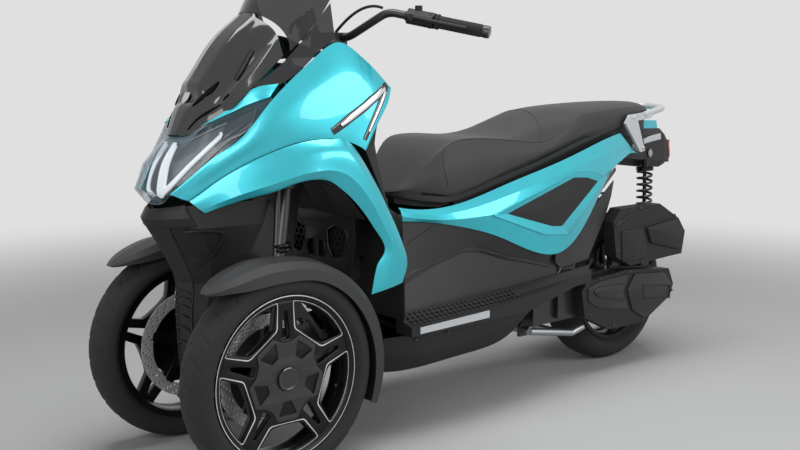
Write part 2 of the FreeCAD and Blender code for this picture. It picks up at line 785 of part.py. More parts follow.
COWL_ROWS = (
    ((0.926, 0.000, 0.877), (0.922, 0.022, 0.8765), (0.912, 0.047, 0.877), (0.899, 0.072, 0.880)),
    ((0.905, 0.000, 0.928), (0.900, 0.034, 0.924), (0.888, 0.068, 0.910), (0.873, 0.092, 0.897)),
    ((0.877, 0.000, 0.978), (0.869, 0.046, 0.970), (0.853, 0.087, 0.943), (0.840, 0.113, 0.922)),
    ((0.840, 0.000, 1.032), (0.828, 0.052, 1.022), (0.811, 0.102, 0.985), (0.818, 0.133, 0.946)),
    ((0.790, 0.000, 1.096), (0.776, 0.056, 1.086), (0.757, 0.108, 1.040), (0.772, 0.143, 0.990)),
    ((0.712, 0.000, 1.168), (0.700, 0.055, 1.158), (0.680, 0.102, 1.125), (0.684, 0.143, 1.063)),
)
cowl = skin(full_width([places(row) for row in COWL_ROWS]), WALL, at(0.7, 0, 0.9))
add_shape("nose_cowl", cowl)

SCREEN_ROWS = (
    ((0.704, 0.000, 1.176), (0.691, 0.057, 1.166), (0.667, 0.108, 1.133), (0.668, 0.150, 1.074)),
    ((0.664, 0.000, 1.240), (0.654, 0.057, 1.232), (0.640, 0.108, 1.196), (0.625, 0.163, 1.120)),
    ((0.622, 0.000, 1.300), (0.614, 0.055, 1.293), (0.601, 0.102, 1.260), (0.586, 0.168, 1.160)),
    ((0.585, 0.000, 1.350), (0.581, 0.052, 1.346), (0.569, 0.100, 1.316), (0.557, 0.172, 1.206)),
)
SCREEN_WING_ROWS = (
    ((0.776, 0.147, 0.984), (0.705, 0.188, 1.003), (0.640, 0.200, 1.055), (0.566, 0.205, 1.104)),
    ((0.778, 0.145, 0.992), (0.722, 0.158, 1.028), (0.650, 0.166, 1.092), (0.558, 0.176, 1.198)),
)
screen = skin(full_width([places(row) for row in SCREEN_ROWS]), size("screen_wall"), at(0.4, 0, 1.1))
screen_wing = skin([places(row) for row in SCREEN_WING_ROWS], size("screen_wall"), at(0.5, 0, 1.0))
add_shape("windscreen", Part.makeCompound([screen, screen_wing, mirrored(screen_wing)]))

LENS_STATIONS = (
    ((0.930, 0.000, 0.864), (1.004, 0.000, 0.800), (1.030, 0.000, 0.741), (0.988, 0.000, 0.697)),
    ((0.914, 0.047, 0.868), (0.980, 0.049, 0.800), (1.000, 0.056, 0.732), (0.985, 0.050, 0.705)),
    ((0.894, 0.090, 0.892), (0.925, 0.095, 0.830), (0.950, 0.095, 0.772), (0.958, 0.090, 0.752)),
    ((0.836, 0.126, 0.921), (0.862, 0.134, 0.876), (0.878, 0.140, 0.838), (0.886, 0.140, 0.822)),
    ((0.785, 0.154, 0.947), (0.800, 0.164, 0.920), (0.812, 0.170, 0.893), (0.818, 0.172, 0.882)),
    ((0.752, 0.1858, 0.962), (0.753, 0.1878, 0.961), (0.754, 0.1888, 0.960), (0.755, 0.1898, 0.959)),
)
lens_rows = full_width([list(row) for row in zip(*[places(station) for station in LENS_STATIONS])])
add_shape("headlamp_lens", skin(lens_rows, size("lens_wall"), at(0.7, 0, 0.8)))

HOUSING_STATIONS = (
    ((0.925, 0.000, 0.850), (0.970, 0.000, 0.796), (0.990, 0.000, 0.742), (0.965, 0.000, 0.712)),
    ((0.916, 0.043, 0.856), (0.950, 0.045, 0.796), (0.966, 0.050, 0.735), (0.955, 0.045, 0.715)),
    ((0.872, 0.080, 0.884), (0.898, 0.084, 0.826), (0.918, 0.084, 0.772), (0.925, 0.080, 0.757)),
    ((0.816, 0.113, 0.914), (0.838, 0.120, 0.872), (0.850, 0.124, 0.838), (0.856, 0.124, 0.826)),
    ((0.766, 0.142, 0.940), (0.778, 0.148, 0.916), (0.788, 0.153, 0.893), (0.792, 0.155, 0.886)),
)
housing_rows = full_width([list(row) for row in zip(*[places(station) for station in HOUSING_STATIONS])])
add_shape("headlamp_housing", skin(housing_rows, size("lens_wall"), at(0.6, 0, 0.8), True))

CHIN_ROWS = (
    ((0.985, 0.000, 0.686), (0.965, 0.050, 0.692), (0.915, 0.105, 0.699), (0.706, 0.106, 0.697)),
    ((1.008, 0.000, 0.648), (0.982, 0.052, 0.644), (0.918, 0.108, 0.640), (0.730, 0.108, 0.636)),
    ((0.950, 0.000, 0.566), (0.934, 0.046, 0.563), (0.872, 0.084, 0.560), (0.768, 0.102, 0.560)),
    ((0.915, 0.000, 0.490), (0.903, 0.042, 0.490), (0.866, 0.068, 0.490), (0.806, 0.084, 0.490)),
    ((0.915, 0.000, 0.400), (0.906, 0.038, 0.400), (0.882, 0.062, 0.400), (0.845, 0.074, 0.400)),
    ((0.905, 0.000, 0.230), (0.899, 0.033, 0.230), (0.886, 0.050, 0.230), (0.865, 0.058, 0.230)),
)
chin = skin(full_width([places(row) for row in CHIN_ROWS]), WALL, at(0.7, 0, 0.45), True)
add_shape("chin_fairing", chin)

SHIELD_ROWS = (
    ((0.405, 0.000, 1.005), (0.408, 0.080, 1.010), (0.425, 0.150, 1.035), (0.462, 0.200, 1.044),
     (0.474, 0.214, 1.046)),
    ((0.382, 0.000, 0.950), (0.385, 0.080, 0.950), (0.390, 0.150, 0.955), (0.398, 0.205, 0.965),
     (0.404, 0.226, 0.972)),
    ((0.398, 0.000, 0.830), (0.400, 0.080, 0.830), (0.410, 0.150, 0.830), (0.450, 0.220, 0.832),
     (0.506, 0.251, 0.826)),
    ((0.385, 0.000, 0.660), (0.387, 0.080, 0.660), (0.391, 0.160, 0.660), (0.413, 0.235, 0.660),
     (0.436, 0.264, 0.658)),
    ((0.362, 0.000, 0.500), (0.363, 0.080, 0.500), (0.365, 0.160, 0.500), (0.371, 0.230, 0.500),
     (0.380, 0.262, 0.500)),
    ((0.356, 0.000, 0.345), (0.356, 0.080, 0.345), (0.357, 0.160, 0.345), (0.359, 0.215, 0.345),
     (0.362, 0.244, 0.345)),
)
shield = skin(full_width([places(row) for row in SHIELD_ROWS]), WALL, at(0.6, 0, 0.7))
add_shape("inner_shield", shield)

DASH_ROWS = (
    ((0.624, 0.000, 1.118), (0.620, 0.070, 1.110), (0.611, 0.130, 1.085), (0.602, 0.165, 1.073)),
    ((0.590, 0.000, 1.105), (0.587, 0.070, 1.098), (0.578, 0.140, 1.080), (0.568, 0.182, 1.072)),
    ((0.540, 0.000, 1.078), (0.536, 0.075, 1.074), (0.530, 0.145, 1.066), (0.522, 0.190, 1.060)),
    ((0.478, 0.000, 1.062), (0.476, 0.080, 1.060), (0.470, 0.150, 1.058), (0.482, 0.196, 1.054)),
)
add_shape("dashboard", skin(full_width([places(row) for row in DASH_ROWS]), WALL, at(0.55, 0, 0.8)))

SIDE_LAMP_SHARES = (
    (0.425, 0.988), (0.438, 0.972), (0.604, 0.870), (0.616, 0.872), (0.612, 0.882), (0.452, 0.992),
    (0.436, 1.004),
)
SIDE_LAMP_LEG_SHARES = (
    (0.424, 0.984), (0.440, 0.972), (0.516, 0.858), (0.512, 0.846), (0.500, 0.858), (0.416, 0.968),
)


LAMP_INNER_SHARE = 0.15


def side_lamp():
    """V-shaped lamp bar that lies on the left fairing near its rear edge."""
    legs = []
    for shares in (SIDE_LAMP_SHARES, SIDE_LAMP_LEG_SHARES):
        legs.append(prism([at(x, LAMP_INNER_SHARE, z) for x, z in shares], at(0, LAMP_INNER_SHARE, 0)))
    outline_bar = fused(legs)
    proud = [[place + Vector(0, WALL + SEAT, 0) for place in places(row)]
             for row in (FAIRING_TOP, FAIRING_UPPER, FAIRING_LOWER, FAIRING_CREST)]
    return skin(proud, WALL, CENTRE_OF_BODY).common(outline_bar)


add_shape("side_lamps", both_sides(side_lamp()))

LINER_ROWS = (
    ((0.820, 0.0364, 0.700), (0.740, 0.0364, 0.752), (0.640, 0.0364, 0.764), (0.560, 0.0364, 0.735),
     (0.500, 0.0364, 0.640)),
    ((0.800, 0.130, 0.705), (0.735, 0.130, 0.752), (0.640, 0.130, 0.762), (0.560, 0.130, 0.732),
     (0.500, 0.130, 0.640)),
    ((0.780, 0.200, 0.720), (0.725, 0.215, 0.746), (0.640, 0.235, 0.758), (0.575, 0.245, 0.718),
     (0.510, 0.250, 0.640)),
)
add_shape("arch_liner", both_sides(skin([places(row) for row in LINER_ROWS], WALL, at(0.65, 0.13, 1.0), True)))


RADIATOR_LOW = at(0.446, -0.150, 0.462)
RADIATOR_HIGH = at(0.466, 0.150, 0.625)
GUARD_DEPTH_SHARE = 3
GUARD_EDGE_SHARE = 0.8
CELL_SIDES = 6


def radiator():
    """Radiator core with a honeycomb guard standing in a frame on its front."""
    low = RADIATOR_LOW
    high = RADIATOR_HIGH
    core = block(low, high)
    depth = size("honeycomb_web") * GUARD_DEPTH_SHARE
    guard_low = Vector(high.x - size("honeycomb_web"), low.y, low.z)
    guard = block(guard_low, Vector(high.x + depth, high.y, high.z))
    pitch = size("honeycomb_cell") + size("honeycomb_web")
    rise = pitch * math.sqrt(3) / 2
    cell_radius = size("honeycomb_cell") / math.sqrt(3)
    cells = []
    row = 0
    height = low.z + pitch
    while height < high.z - pitch * GUARD_EDGE_SHARE:
        across = low.y + pitch * (1 + (row % 2) / 2)
        while across < high.y - pitch * GUARD_EDGE_SHARE:
            corners = [
                Vector(high.x, across + cell_radius * math.sin(turn), height + cell_radius * math.cos(turn))
                for turn in (2 * math.pi * step / CELL_SIDES for step in range(CELL_SIDES))
            ]
            cells.append(prism(corners, Vector(depth * 2, 0, 0)))
            across += pitch
        height += rise
        row += 1
    return core.fuse(guard).cut(Part.makeCompound(cells)).removeSplitter()


add_shape("radiator", radiator())


# Floor

TUNNEL_ROWS = (
    ((0.348, 0.000, 0.690), (0.300, 0.000, 0.640), (0.250, 0.000, 0.612), (0.100, 0.000, 0.595),
     (-0.030, 0.000, 0.520), (-0.330, 0.000, 0.500)),
    ((0.348, 0.085, 0.690), (0.300, 0.083, 0.645), (0.250, 0.082, 0.612), (0.100, 0.100, 0.590),
     (-0.030, 0.115, 0.515), (-0.330, 0.150, 0.490)),
    ((0.348, 0.125, 0.580), (0.300, 0.120, 0.550), (0.250, 0.116, 0.535), (0.100, 0.140, 0.530),
     (-0.030, 0.168, 0.510), (-0.330, 0.176, 0.470)),
    ((0.348, 0.152, 0.400), (0.280, 0.146, 0.420), (0.160, 0.140, 0.458), (0.020, 0.150, 0.492),
     (-0.140, 0.168, 0.445), (-0.330, 0.178, 0.400)),
    ((0.348, 0.176, 0.345), (0.280, 0.172, 0.345), (0.160, 0.166, 0.345), (0.020, 0.166, 0.345),
     (-0.140, 0.172, 0.350), (-0.330, 0.178, 0.360)),
)


def hinge_ear():
    """Left ear of the seat hinge, standing on the tunnel."""
    plate = prism([HINGE + at(x, 0.050, z) for x, z in HINGE_EAR_SHARES], at(0, 0.012, 0))
    return plate.cut(round_bar(HINGE, HINGE + at(0, 0.1, 0), size("hinge_pin_radius") + size("running_gap")))


HINGE = at(0.279, 0, 0.650)
HINGE_EAR_SHARES = (
    (-0.009, -0.020), (-0.009, 0.006), (-0.004, 0.010), (0.004, 0.010), (0.010, 0.006), (0.014, -0.020),
)
tunnel_skin = skin(across_centre([places(row) for row in TUNNEL_ROWS]), WALL, at(0.1, 0, 0.3), True)
add_shape("tunnel", fused([tunnel_skin, hinge_ear(), mirrored(hinge_ear())]))

# Footboard stations: place along, inner and outer edge, bottom, inner and outer top.
BOARD_DISH_SHARE = 0.006
BOARD_STATIONS = (
    (0.340, 0.180, 0.246, 0.2955, 0.352, 0.323),
    (0.050, 0.180, 0.246, 0.2955, 0.358, 0.331),
    (-0.150, 0.182, 0.232, 0.2955, 0.366, 0.342),
    (-0.400, 0.184, 0.205, 0.3355, 0.384, 0.356),
    (-0.480, 0.184, 0.196, 0.3355, 0.392, 0.364),
)


def footboard():
    """Left footboard with a raised inner edge, narrowing and rising towards the rear."""
    sections = []
    for along, inner, outer, bottom, inner_top, outer_top in BOARD_STATIONS:
        sections.append(polygon([
            at(along, inner, bottom), at(along, outer, bottom), at(along, outer, outer_top),
            at(along, (inner + outer) / 2, (inner_top + outer_top) / 2 - BOARD_DISH_SHARE),
            at(along, inner, inner_top),
        ]))
    return loft(sections, True)


add_shape("footboards", both_sides(footboard()))

STRIP_CORNERS = ((0.310, 0.246, 0.301), (0.310, 0.246, 0.319), (0.040, 0.246, 0.328), (0.040, 0.246, 0.307))
strip_corners = [place + Vector(0, SEAT, 0) for place in places(STRIP_CORNERS)]
strip = prism(strip_corners, Vector(0, size("trim_thickness"), 0))
add_shape("sill_trims", both_sides(strip))

BELLY_ROWS = (
    ((0.400, 0.200, 0.293), (0.340, 0.214, 0.293), (0.050, 0.214, 0.293), (-0.150, 0.200, 0.293),
     (-0.270, 0.150, 0.293)),
    ((0.408, 0.185, 0.250), (0.345, 0.196, 0.235), (0.050, 0.190, 0.235), (-0.150, 0.165, 0.245),
     (-0.270, 0.130, 0.265)),
    ((0.415, 0.140, 0.190), (0.350, 0.140, 0.176), (0.050, 0.130, 0.170), (-0.160, 0.110, 0.182),
     (-0.275, 0.085, 0.222)),
    ((0.418, 0.000, 0.180), (0.352, 0.000, 0.168), (0.050, 0.000, 0.162), (-0.165, 0.000, 0.176),
     (-0.278, 0.000, 0.216)),
)
belly_rows = across_centre([places(row) for row in reversed(BELLY_ROWS)])
add_shape("belly_pan", skin(belly_rows, WALL, at(0.1, 0, 0.6)))


# Side panels, seat and tail

PANEL_TOP = (
    (0.285, 0.126, 0.640), (0.120, 0.156, 0.632), (-0.100, 0.170, 0.680), (-0.270, 0.172, 0.718),
    (-0.420, 0.166, 0.752), (-0.560, 0.152, 0.785), (-0.690, 0.132, 0.806),
)
PANEL_SHOULDER = (
    (0.282, 0.132, 0.630), (0.110, 0.172, 0.615), (-0.100, 0.192, 0.652), (-0.265, 0.196, 0.686),
    (-0.415, 0.188, 0.715), (-0.555, 0.170, 0.742), (-0.720, 0.138, 0.775),
)
PANEL_WAIST = (
    (0.279, 0.135, 0.615), (0.100, 0.178, 0.595), (-0.070, 0.204, 0.600), (-0.235, 0.210, 0.600),
    (-0.370, 0.204, 0.620), (-0.540, 0.182, 0.672), (-0.760, 0.134, 0.745),
)
PANEL_BOTTOM = (
    (0.275, 0.132, 0.600), (0.090, 0.172, 0.572), (-0.050, 0.196, 0.530), (-0.200, 0.206, 0.468),
    (-0.300, 0.206, 0.452), (-0.500, 0.182, 0.578), (-0.803, 0.122, 0.729),
)
INSERT_SHARES = ((-0.075, 0.598), (-0.390, 0.680), (-0.525, 0.655), (-0.340, 0.545))


def share_prism(shares, low_y=0.1, high_y=0.26):
    """Prism across the left side from an outline seen from the side."""
    return prism([at(x, low_y, z) for x, z in shares], Vector(0, at(0, high_y - low_y, 0).y, 0))


panel_rows = [places(row) for row in (PANEL_TOP, PANEL_SHOULDER, PANEL_WAIST, PANEL_BOTTOM)]
INSIDE_REAR = at(-0.25, -0.6, 0.55)
side_panel = skin(panel_rows, WALL, INSIDE_REAR).cut(share_prism(INSERT_SHARES))
add_shape("side_panels", both_sides(side_panel))

recess = Vector(0, -(WALL + SEAT), 0)
insert_rows = [[place + recess for place in row] for row in panel_rows]
grown = ((-0.050, 0.597), (-0.388, 0.690), (-0.545, 0.660), (-0.338, 0.530))
side_insert = skin(insert_rows, WALL, INSIDE_REAR).common(share_prism(grown))
add_shape("side_inserts", both_sides(side_insert))

COVER_ROWS = (
    ((-0.300, 0.200, 0.446), (-0.440, 0.184, 0.536), (-0.640, 0.150, 0.652)),
    ((-0.310, 0.192, 0.420), (-0.450, 0.180, 0.480), (-0.628, 0.150, 0.600)),
    ((-0.340, 0.186, 0.398), (-0.480, 0.180, 0.410), (-0.600, 0.152, 0.540)),
)
add_shape("rear_covers", both_sides(skin([places(row) for row in COVER_ROWS], WALL, INSIDE_REAR, True)))

# Seat stations: place along, bottom, top and half width. Section: shares of the half width and rise.
SEAT_STATIONS = (
    (0.272, 0.664, 0.680, 0.034),
    (0.250, 0.659, 0.694, 0.084),
    (0.205, 0.651, 0.738, 0.118),
    (0.128, 0.642, 0.808, 0.150),
    (0.080, 0.650, 0.828, 0.158),
    (-0.080, 0.684, 0.824, 0.164),
    (-0.190, 0.708, 0.841, 0.164),
    (-0.300, 0.732, 0.881, 0.160),
    (-0.480, 0.775, 0.903, 0.150),
    (-0.700, 0.824, 0.909, 0.126),
    (-0.860, 0.856, 0.906, 0.098),
    (-0.925, 0.868, 0.890, 0.050),
)

SEAT_SECTION = ((0, 0), (0.82, 0), (1, 0.24), (0.94, 0.70), (0.70, 0.91), (0.36, 0.99), (0, 1))


def seat():
    """Stepped dual seat, crowned across."""
    sections = []
    for along, bottom, top, half in SEAT_STATIONS:
        rise = top - bottom
        left = [at(along, half * across, bottom + rise * up) for across, up in SEAT_SECTION]
        right = [Vector(place.x, -place.y, place.z) for place in reversed(left[1:-1])]
        sections.append(polygon(left + right))
    return loft(sections, True)


add_shape("seat", seat())

PAN_DROP = 0.016
PAN_WIDTH_SHARE = 0.78
PIN_HALF_SHARE = 0.066
TONGUE_HALF_SHARE = 0.030
RAIL_ACROSS = 0.138


def seat_pan():
    """Moulded pan under the seat, with the tongue and pin of its front hinge."""
    sections = []
    for along, bottom, _, half in SEAT_STATIONS[1:-1]:
        width = half * PAN_WIDTH_SHARE
        sections.append(polygon([
            at(along, width, bottom - PAN_DROP), at(along, width, bottom) - Vector(0, 0, SEAT),
            at(along, -width, bottom) - Vector(0, 0, SEAT), at(along, -width, bottom - PAN_DROP),
        ]))
    pin_half = at(0, PIN_HALF_SHARE, 0)
    pin = round_bar(HINGE - pin_half, HINGE + pin_half, size("hinge_pin_radius"))
    tongue = prism(
        [at(0.180, -TONGUE_HALF_SHARE, 0.628), at(0.180, -TONGUE_HALF_SHARE, 0.640),
         HINGE + at(0, -TONGUE_HALF_SHARE, 0.003), HINGE + at(0, -TONGUE_HALF_SHARE, -0.005)],
        at(0, TONGUE_HALF_SHARE * 2, 0),
    )
    return fused([loft(sections, True), tongue, pin])


add_shape("seat_pan", seat_pan())


def storage_bin():
    """Open tub under the seat."""
    low = at(-0.520, 0, 0.530)
    high = at(-0.060, 0, 0.655)
    over = at(0, 0, 0.1)
    half = at(0, RAIL_ACROSS, 0).y - size("tube_radius") - SEAT
    outer = block(Vector(low.x, -half, low.z), Vector(high.x, half, high.z))
    inner_low = Vector(low.x + WALL, -half + WALL, low.z + WALL)
    inner = block(inner_low, Vector(high.x - WALL, half - WALL, high.z) + over)
    return outer.cut(inner)


add_shape("storage_bin", storage_bin())

TAIL_STATIONS = (
    (-0.700, 0.122, 0.700, 0.800),
    (-0.850, 0.108, 0.680, 0.812),
    (-1.000, 0.088, 0.668, 0.806),
    (-1.040, 0.078, 0.676, 0.770),
)


def tail_housing():
    """Closed tail with the lamp's seat at its rear."""
    sections = []
    for along, half, bottom, top in TAIL_STATIONS:
        sections.append(polygon([
            at(along, half * 0.7, bottom), at(along, half, bottom + 0.025), at(along, half * 0.95, top - 0.02),
            at(along, half * 0.7, top), at(along, -half * 0.7, top), at(along, -half * 0.95, top - 0.02),
            at(along, -half, bottom + 0.025), at(along, -half * 0.7, bottom),
        ]))
    return loft(sections, True)


add_shape("tail_housing", tail_housing())


COWL_TOP_SHARE = 0.9
TAIL_COWL_STATIONS = (
    (-0.755, 0.078, 0.8048, 0.811),
    (-0.850, 0.074, 0.8123, 0.828),
    (-0.925, 0.067, 0.8093, 0.838),
    (-0.990, 0.060, 0.8067, 0.834),
)


def tail_cowl():
    """Painted cover over the tail housing."""
    sections = []
    for along, half, low, top in TAIL_COWL_STATIONS:
        sections.append(polygon([
            at(along, half, low), at(along, half * COWL_TOP_SHARE, top),
            at(along, -half * COWL_TOP_SHARE, top), at(along, -half, low),
        ]))
    return loft(sections, True)


add_shape("tail_cowl", tail_cowl())

lamp_face = at(-1.040, 0.070, 0.684)
lamp_end = at(-1.050, 0, 0.764)
lamp = block(
    Vector(lamp_end.x, -lamp_face.y, lamp_face.z), Vector(lamp_face.x - SEAT, lamp_face.y, lamp_end.z),
)
add_shape("tail_lamp", lamp)


RAIL_BRACKET_SHARES = (
    (-0.700, 0.838), (-0.722, 0.866), (-0.840, 0.874), (-0.840, 0.852), (-0.765, 0.846), (-0.808, 0.742),
    (-0.784, 0.738),
)
RAIL_LINE = (
    (-0.800, 0.141, 0.862), (-0.965, 0.100, 0.882), (-1.010, 0, 0.884), (-0.965, -0.100, 0.882),
    (-0.800, -0.141, 0.862),
)
RAIL_BOSS = at(-0.792, 0.138, 0.752)


def grab_rail():
    """Bar round the tail with a flat bracket and its bolt boss at each end."""
    bar = tube(places(RAIL_LINE), size("rail_radius"), at(0, 0.05, 0).y)
    plate = prism([at(x, 0.136, z) for x, z in RAIL_BRACKET_SHARES], Vector(0, at(0, 0.010, 0).y, 0))
    boss = round_bar(RAIL_BOSS, RAIL_BOSS - at(0, 0.078, 0), size("rail_radius"))
    boss = nearest_part(boss.cut(shape_of("tail_housing").translated(Vector(0, SEAT, 0))), RAIL_BOSS)
    return fused([bar, plate, mirrored(plate), boss, mirrored(boss)])


add_shape("grab_rail", grab_rail())


# Engine, rear suspension and exhaust

def slab(shares, low_y, high_y):
    """Plate across the vehicle between two widths, from an outline seen from the side."""
    return prism([at(x, low_y, z) for x, z in shares], Vector(0, at(0, high_y - low_y, 0).y, 0))


DRIVE_CASE_SHARES = (
    (-0.400, 0.215), (-0.400, 0.325), (-0.480, 0.345), (-0.700, 0.350), (-0.900, 0.330), (-0.930, 0.260),
    (-0.860, 0.195), (-0.500, 0.205),
)
LINK_SHARES = ((-0.410, 0.230), (-0.410, 0.320), (-0.500, 0.320), (-0.500, 0.230))
RIGHT_ARM_SHARES = ((-0.450, 0.210), (-0.450, 0.320), (-0.840, 0.300), (-0.840, 0.215))
SHOCK_LUG_SHARES = ((-0.835, 0.250), (-0.850, 0.3797), (-0.890, 0.3797), (-0.890, 0.310), (-0.835, 0.240))
SHOCK_LUG_LOWS = (0.096, -0.116)
SHOCK_LUG_WIDTH = 0.020
BOX_LUG_LOW_SHARES = ((-0.660, 0.320), (-0.660, 0.400), (-0.700, 0.400), (-0.700, 0.320))
BOX_LUG_TOP_SHARES = ((-0.660, 0.360), (-0.660, 0.420), (-0.700, 0.420), (-0.700, 0.360))
CAN_LUG_SHARES = ((-0.740, 0.240), (-0.740, 0.300), (-0.780, 0.300), (-0.780, 0.240))
STAND_EAR_SHARES = ((-0.338, 0.158), (-0.338, 0.210), (-0.302, 0.210), (-0.292, 0.190), (-0.292, 0.158))
STAND_PIVOT = at(-0.315, 0, 0.176)
CAN_START = at(-0.560, -0.186, 0.300)
CAN_END = at(-1.000, -0.188, 0.380)


def engine():
    """Engine block with its drive case, right arm, rear axle and the ears of the stand."""
    unit_low = Vector(REAR_X + REAR_Z + size("tyre_room"), at(0, -0.110, 0).y, at(0, 0, 0.200).z)
    unit = block(unit_low, at(-0.300, 0.110, 0.420))
    case = slab(DRIVE_CASE_SHARES, 0.088, 0.126)
    link = slab(LINK_SHARES, 0.100, 0.120)
    arm = slab(RIGHT_ARM_SHARES, -0.122, -0.088)
    axle_end = at(0, 0.1, 0)
    axle_middle = Vector(REAR_X, 0, REAR_Z)
    axle = round_bar(axle_middle - axle_end, axle_middle + axle_end, size("axle_radius"))
    lugs = [slab(SHOCK_LUG_SHARES, low, low + SHOCK_LUG_WIDTH) for low in SHOCK_LUG_LOWS]
    box_lug = fused([slab(BOX_LUG_LOW_SHARES, 0.112, 0.1255), slab(BOX_LUG_TOP_SHARES, 0.112, 0.1367)])
    can_lug = slab(CAN_LUG_SHARES, -0.160, -0.120)
    ears = [slab(STAND_EAR_SHARES, low, low + 0.012) for low in (0.048, -0.060)]
    ear_bore = round_bar(STAND_PIVOT - Vector(0, size("track"), 0), STAND_PIVOT + Vector(0, size("track"), 0),
                         size("stand_tube_radius") + size("running_gap"))
    can_room = round_bar(CAN_START, CAN_END, size("silencer_radius") + SEAT)
    body = fused([unit, case, link, arm, axle, *lugs, box_lug, can_lug, *ears])
    return body.cut(ear_bore).cut(can_room)


add_shape("engine", engine())

COVER_SHARES = (
    (-0.470, 0.300), (-0.500, 0.330), (-0.700, 0.345), (-0.940, 0.320), (-0.968, 0.262), (-0.950, 0.220),
    (-0.800, 0.148), (-0.620, 0.150), (-0.490, 0.210),
)
cover_low = at(0, 0.126, 0).y + SEAT
cover_corners = [at(x, 0, z) + Vector(0, cover_low, 0) for x, z in COVER_SHARES]
cover = prism(cover_corners, Vector(0, size("cover_width"), 0))
add_shape("transmission_cover", cover)

AIR_SHARES = (
    (-0.620, 0.400), (-0.600, 0.520), (-0.640, 0.560), (-0.850, 0.560), (-0.960, 0.500), (-1.000, 0.450),
    (-0.985, 0.372), (-0.700, 0.362),
)
add_shape("air_box", slab(AIR_SHARES, 0.137, 0.185))


PIPE_SHARE = 0.34
PIPE_END_SHARE = 0.1


def silencer():
    """Exhaust silencer low on the right, with its pipe from the engine."""
    can = round_bar(CAN_START, CAN_END, size("silencer_radius"))
    face = at(-0.400, -0.110, 0.250) - Vector(0, SEAT, 0)
    pipe_end = CAN_START + (CAN_END - CAN_START) * PIPE_END_SHARE
    pipe_radius = size("silencer_radius") * PIPE_SHARE
    pipe = tube([face, face - at(0, 0.040, 0), pipe_end], pipe_radius, at(0, 0.018, 0).y)
    return fused([can, pipe])


add_shape("silencer", silencer())

SHOCK_FOOT = at(-0.870, 0.106, 0.380)
SHOCK_HEAD = at(-0.862, 0.106, 0.712)


EYE_LENGTH_SHARE = 0.10
PLATE_LENGTH_SHARE = 0.04
SPRING_START = EYE_LENGTH_SHARE + PLATE_LENGTH_SHARE
SPRING_SHARE = 1 - SPRING_START * 2


def rear_shock():
    """Rear damper with its coil spring as a bellows of straight flanks."""
    lean = (SHOCK_HEAD - SHOCK_FOOT).normalize()
    length = (SHOCK_HEAD - SHOCK_FOOT).Length
    outer = size("coil_radius") + size("wire_radius")
    inner = size("coil_radius") - size("wire_radius")
    rod = size("shock_rod_radius")
    turns = round((length * SPRING_SHARE) / (size("coil_pitch") * 2))
    eye = length * EYE_LENGTH_SHARE
    start = length * SPRING_START
    rise = length * SPRING_SHARE / turns
    profile = [(0, 0), (rod, 0), (rod, eye), (outer, eye), (outer, start)]
    for turn in range(turns):
        low = start + rise * turn
        profile.append((inner, low))
        profile.append((outer, low + rise / 2))
    profile += [(inner, length - start), (outer, length - start), (outer, length - eye), (rod, length - eye),
                (rod, length), (0, length)]
    across = Vector(0, 1, 0)
    face = Part.Face(polygon([SHOCK_FOOT + across * radius + lean * height for radius, height in profile]))
    shock = face.revolve(SHOCK_FOOT, lean, 360)
    return nearest_part(shock.cut(shape_of("tail_housing").translated(Vector(0, 0, -SEAT))), SHOCK_FOOT)


add_shape("rear_shocks", both_sides(rear_shock()))


# Handlebar

STEERING = math.radians(size("steering_angle"))
STEERING_DIRECTION = Vector(-math.sin(STEERING), 0, math.cos(STEERING))
CLAMP = at(0.430, 0, 1.090)


def steering_place(share):
    """Place on the steering axis, from the handlebar clamp, in shares of the body's height."""
    return CLAMP + STEERING_DIRECTION * (share * HEIGHT)


BAR_CORNERS = ((0.418, 0.070, 1.112), (0.362, 0.172, 1.180), (0.228, 0.392, 1.128))
left_bar = places(BAR_CORNERS)
right_bar = [Vector(place.x, -place.y, place.z) for place in left_bar]
BAR_INNER, BAR_OUTER = left_bar[1], left_bar[2]
GRIP_LINE = (BAR_OUTER - BAR_INNER).normalize()


def on_bar(distance):
    """Place on the left grip's line, measured inwards from the bar's end."""
    return BAR_OUTER - GRIP_LINE * distance


def handlebar():
    """Bent bar on its riser with the steering column below."""
    bar = tube([left_bar[2], left_bar[1], left_bar[0], right_bar[0], right_bar[1], right_bar[2]],
               size("bar_radius"), size("bar_bend"))
    riser = block(at(0.405, -0.050, 1.082), at(0.455, 0.050, 1.126))
    column = round_bar(steering_place(-0.245), steering_place(0.01), size("column_radius"))
    return fused([bar, riser, column])


add_shape("handlebar", handlebar())


GRIP_LENGTH = at(0, 0.125, 0).y
COLLAR_LENGTH_SHARE = 0.06
COLLAR_RADIUS_SHARE = 1.2
WEIGHT_RADIUS_SHARE = 0.92
WEIGHT_LENGTH = at(0, 0.014, 0).y


def grip():
    """Left rubber grip with its end weight."""
    outer = round_bar(on_bar(GRIP_LENGTH), on_bar(0), size("grip_radius"))
    collar_end = on_bar(GRIP_LENGTH * (1 - COLLAR_LENGTH_SHARE))
    collar = round_bar(on_bar(GRIP_LENGTH), collar_end, size("grip_radius") * COLLAR_RADIUS_SHARE)
    bore = round_bar(on_bar(GRIP_LENGTH * 2), on_bar(0), size("bar_radius") + SEAT)
    weight = round_bar(on_bar(-SEAT), on_bar(-WEIGHT_LENGTH), size("grip_radius") * WEIGHT_RADIUS_SHARE)
    return Part.makeCompound([fused([outer, collar]).cut(bore), weight])


add_shape("grips", both_sides(grip()))


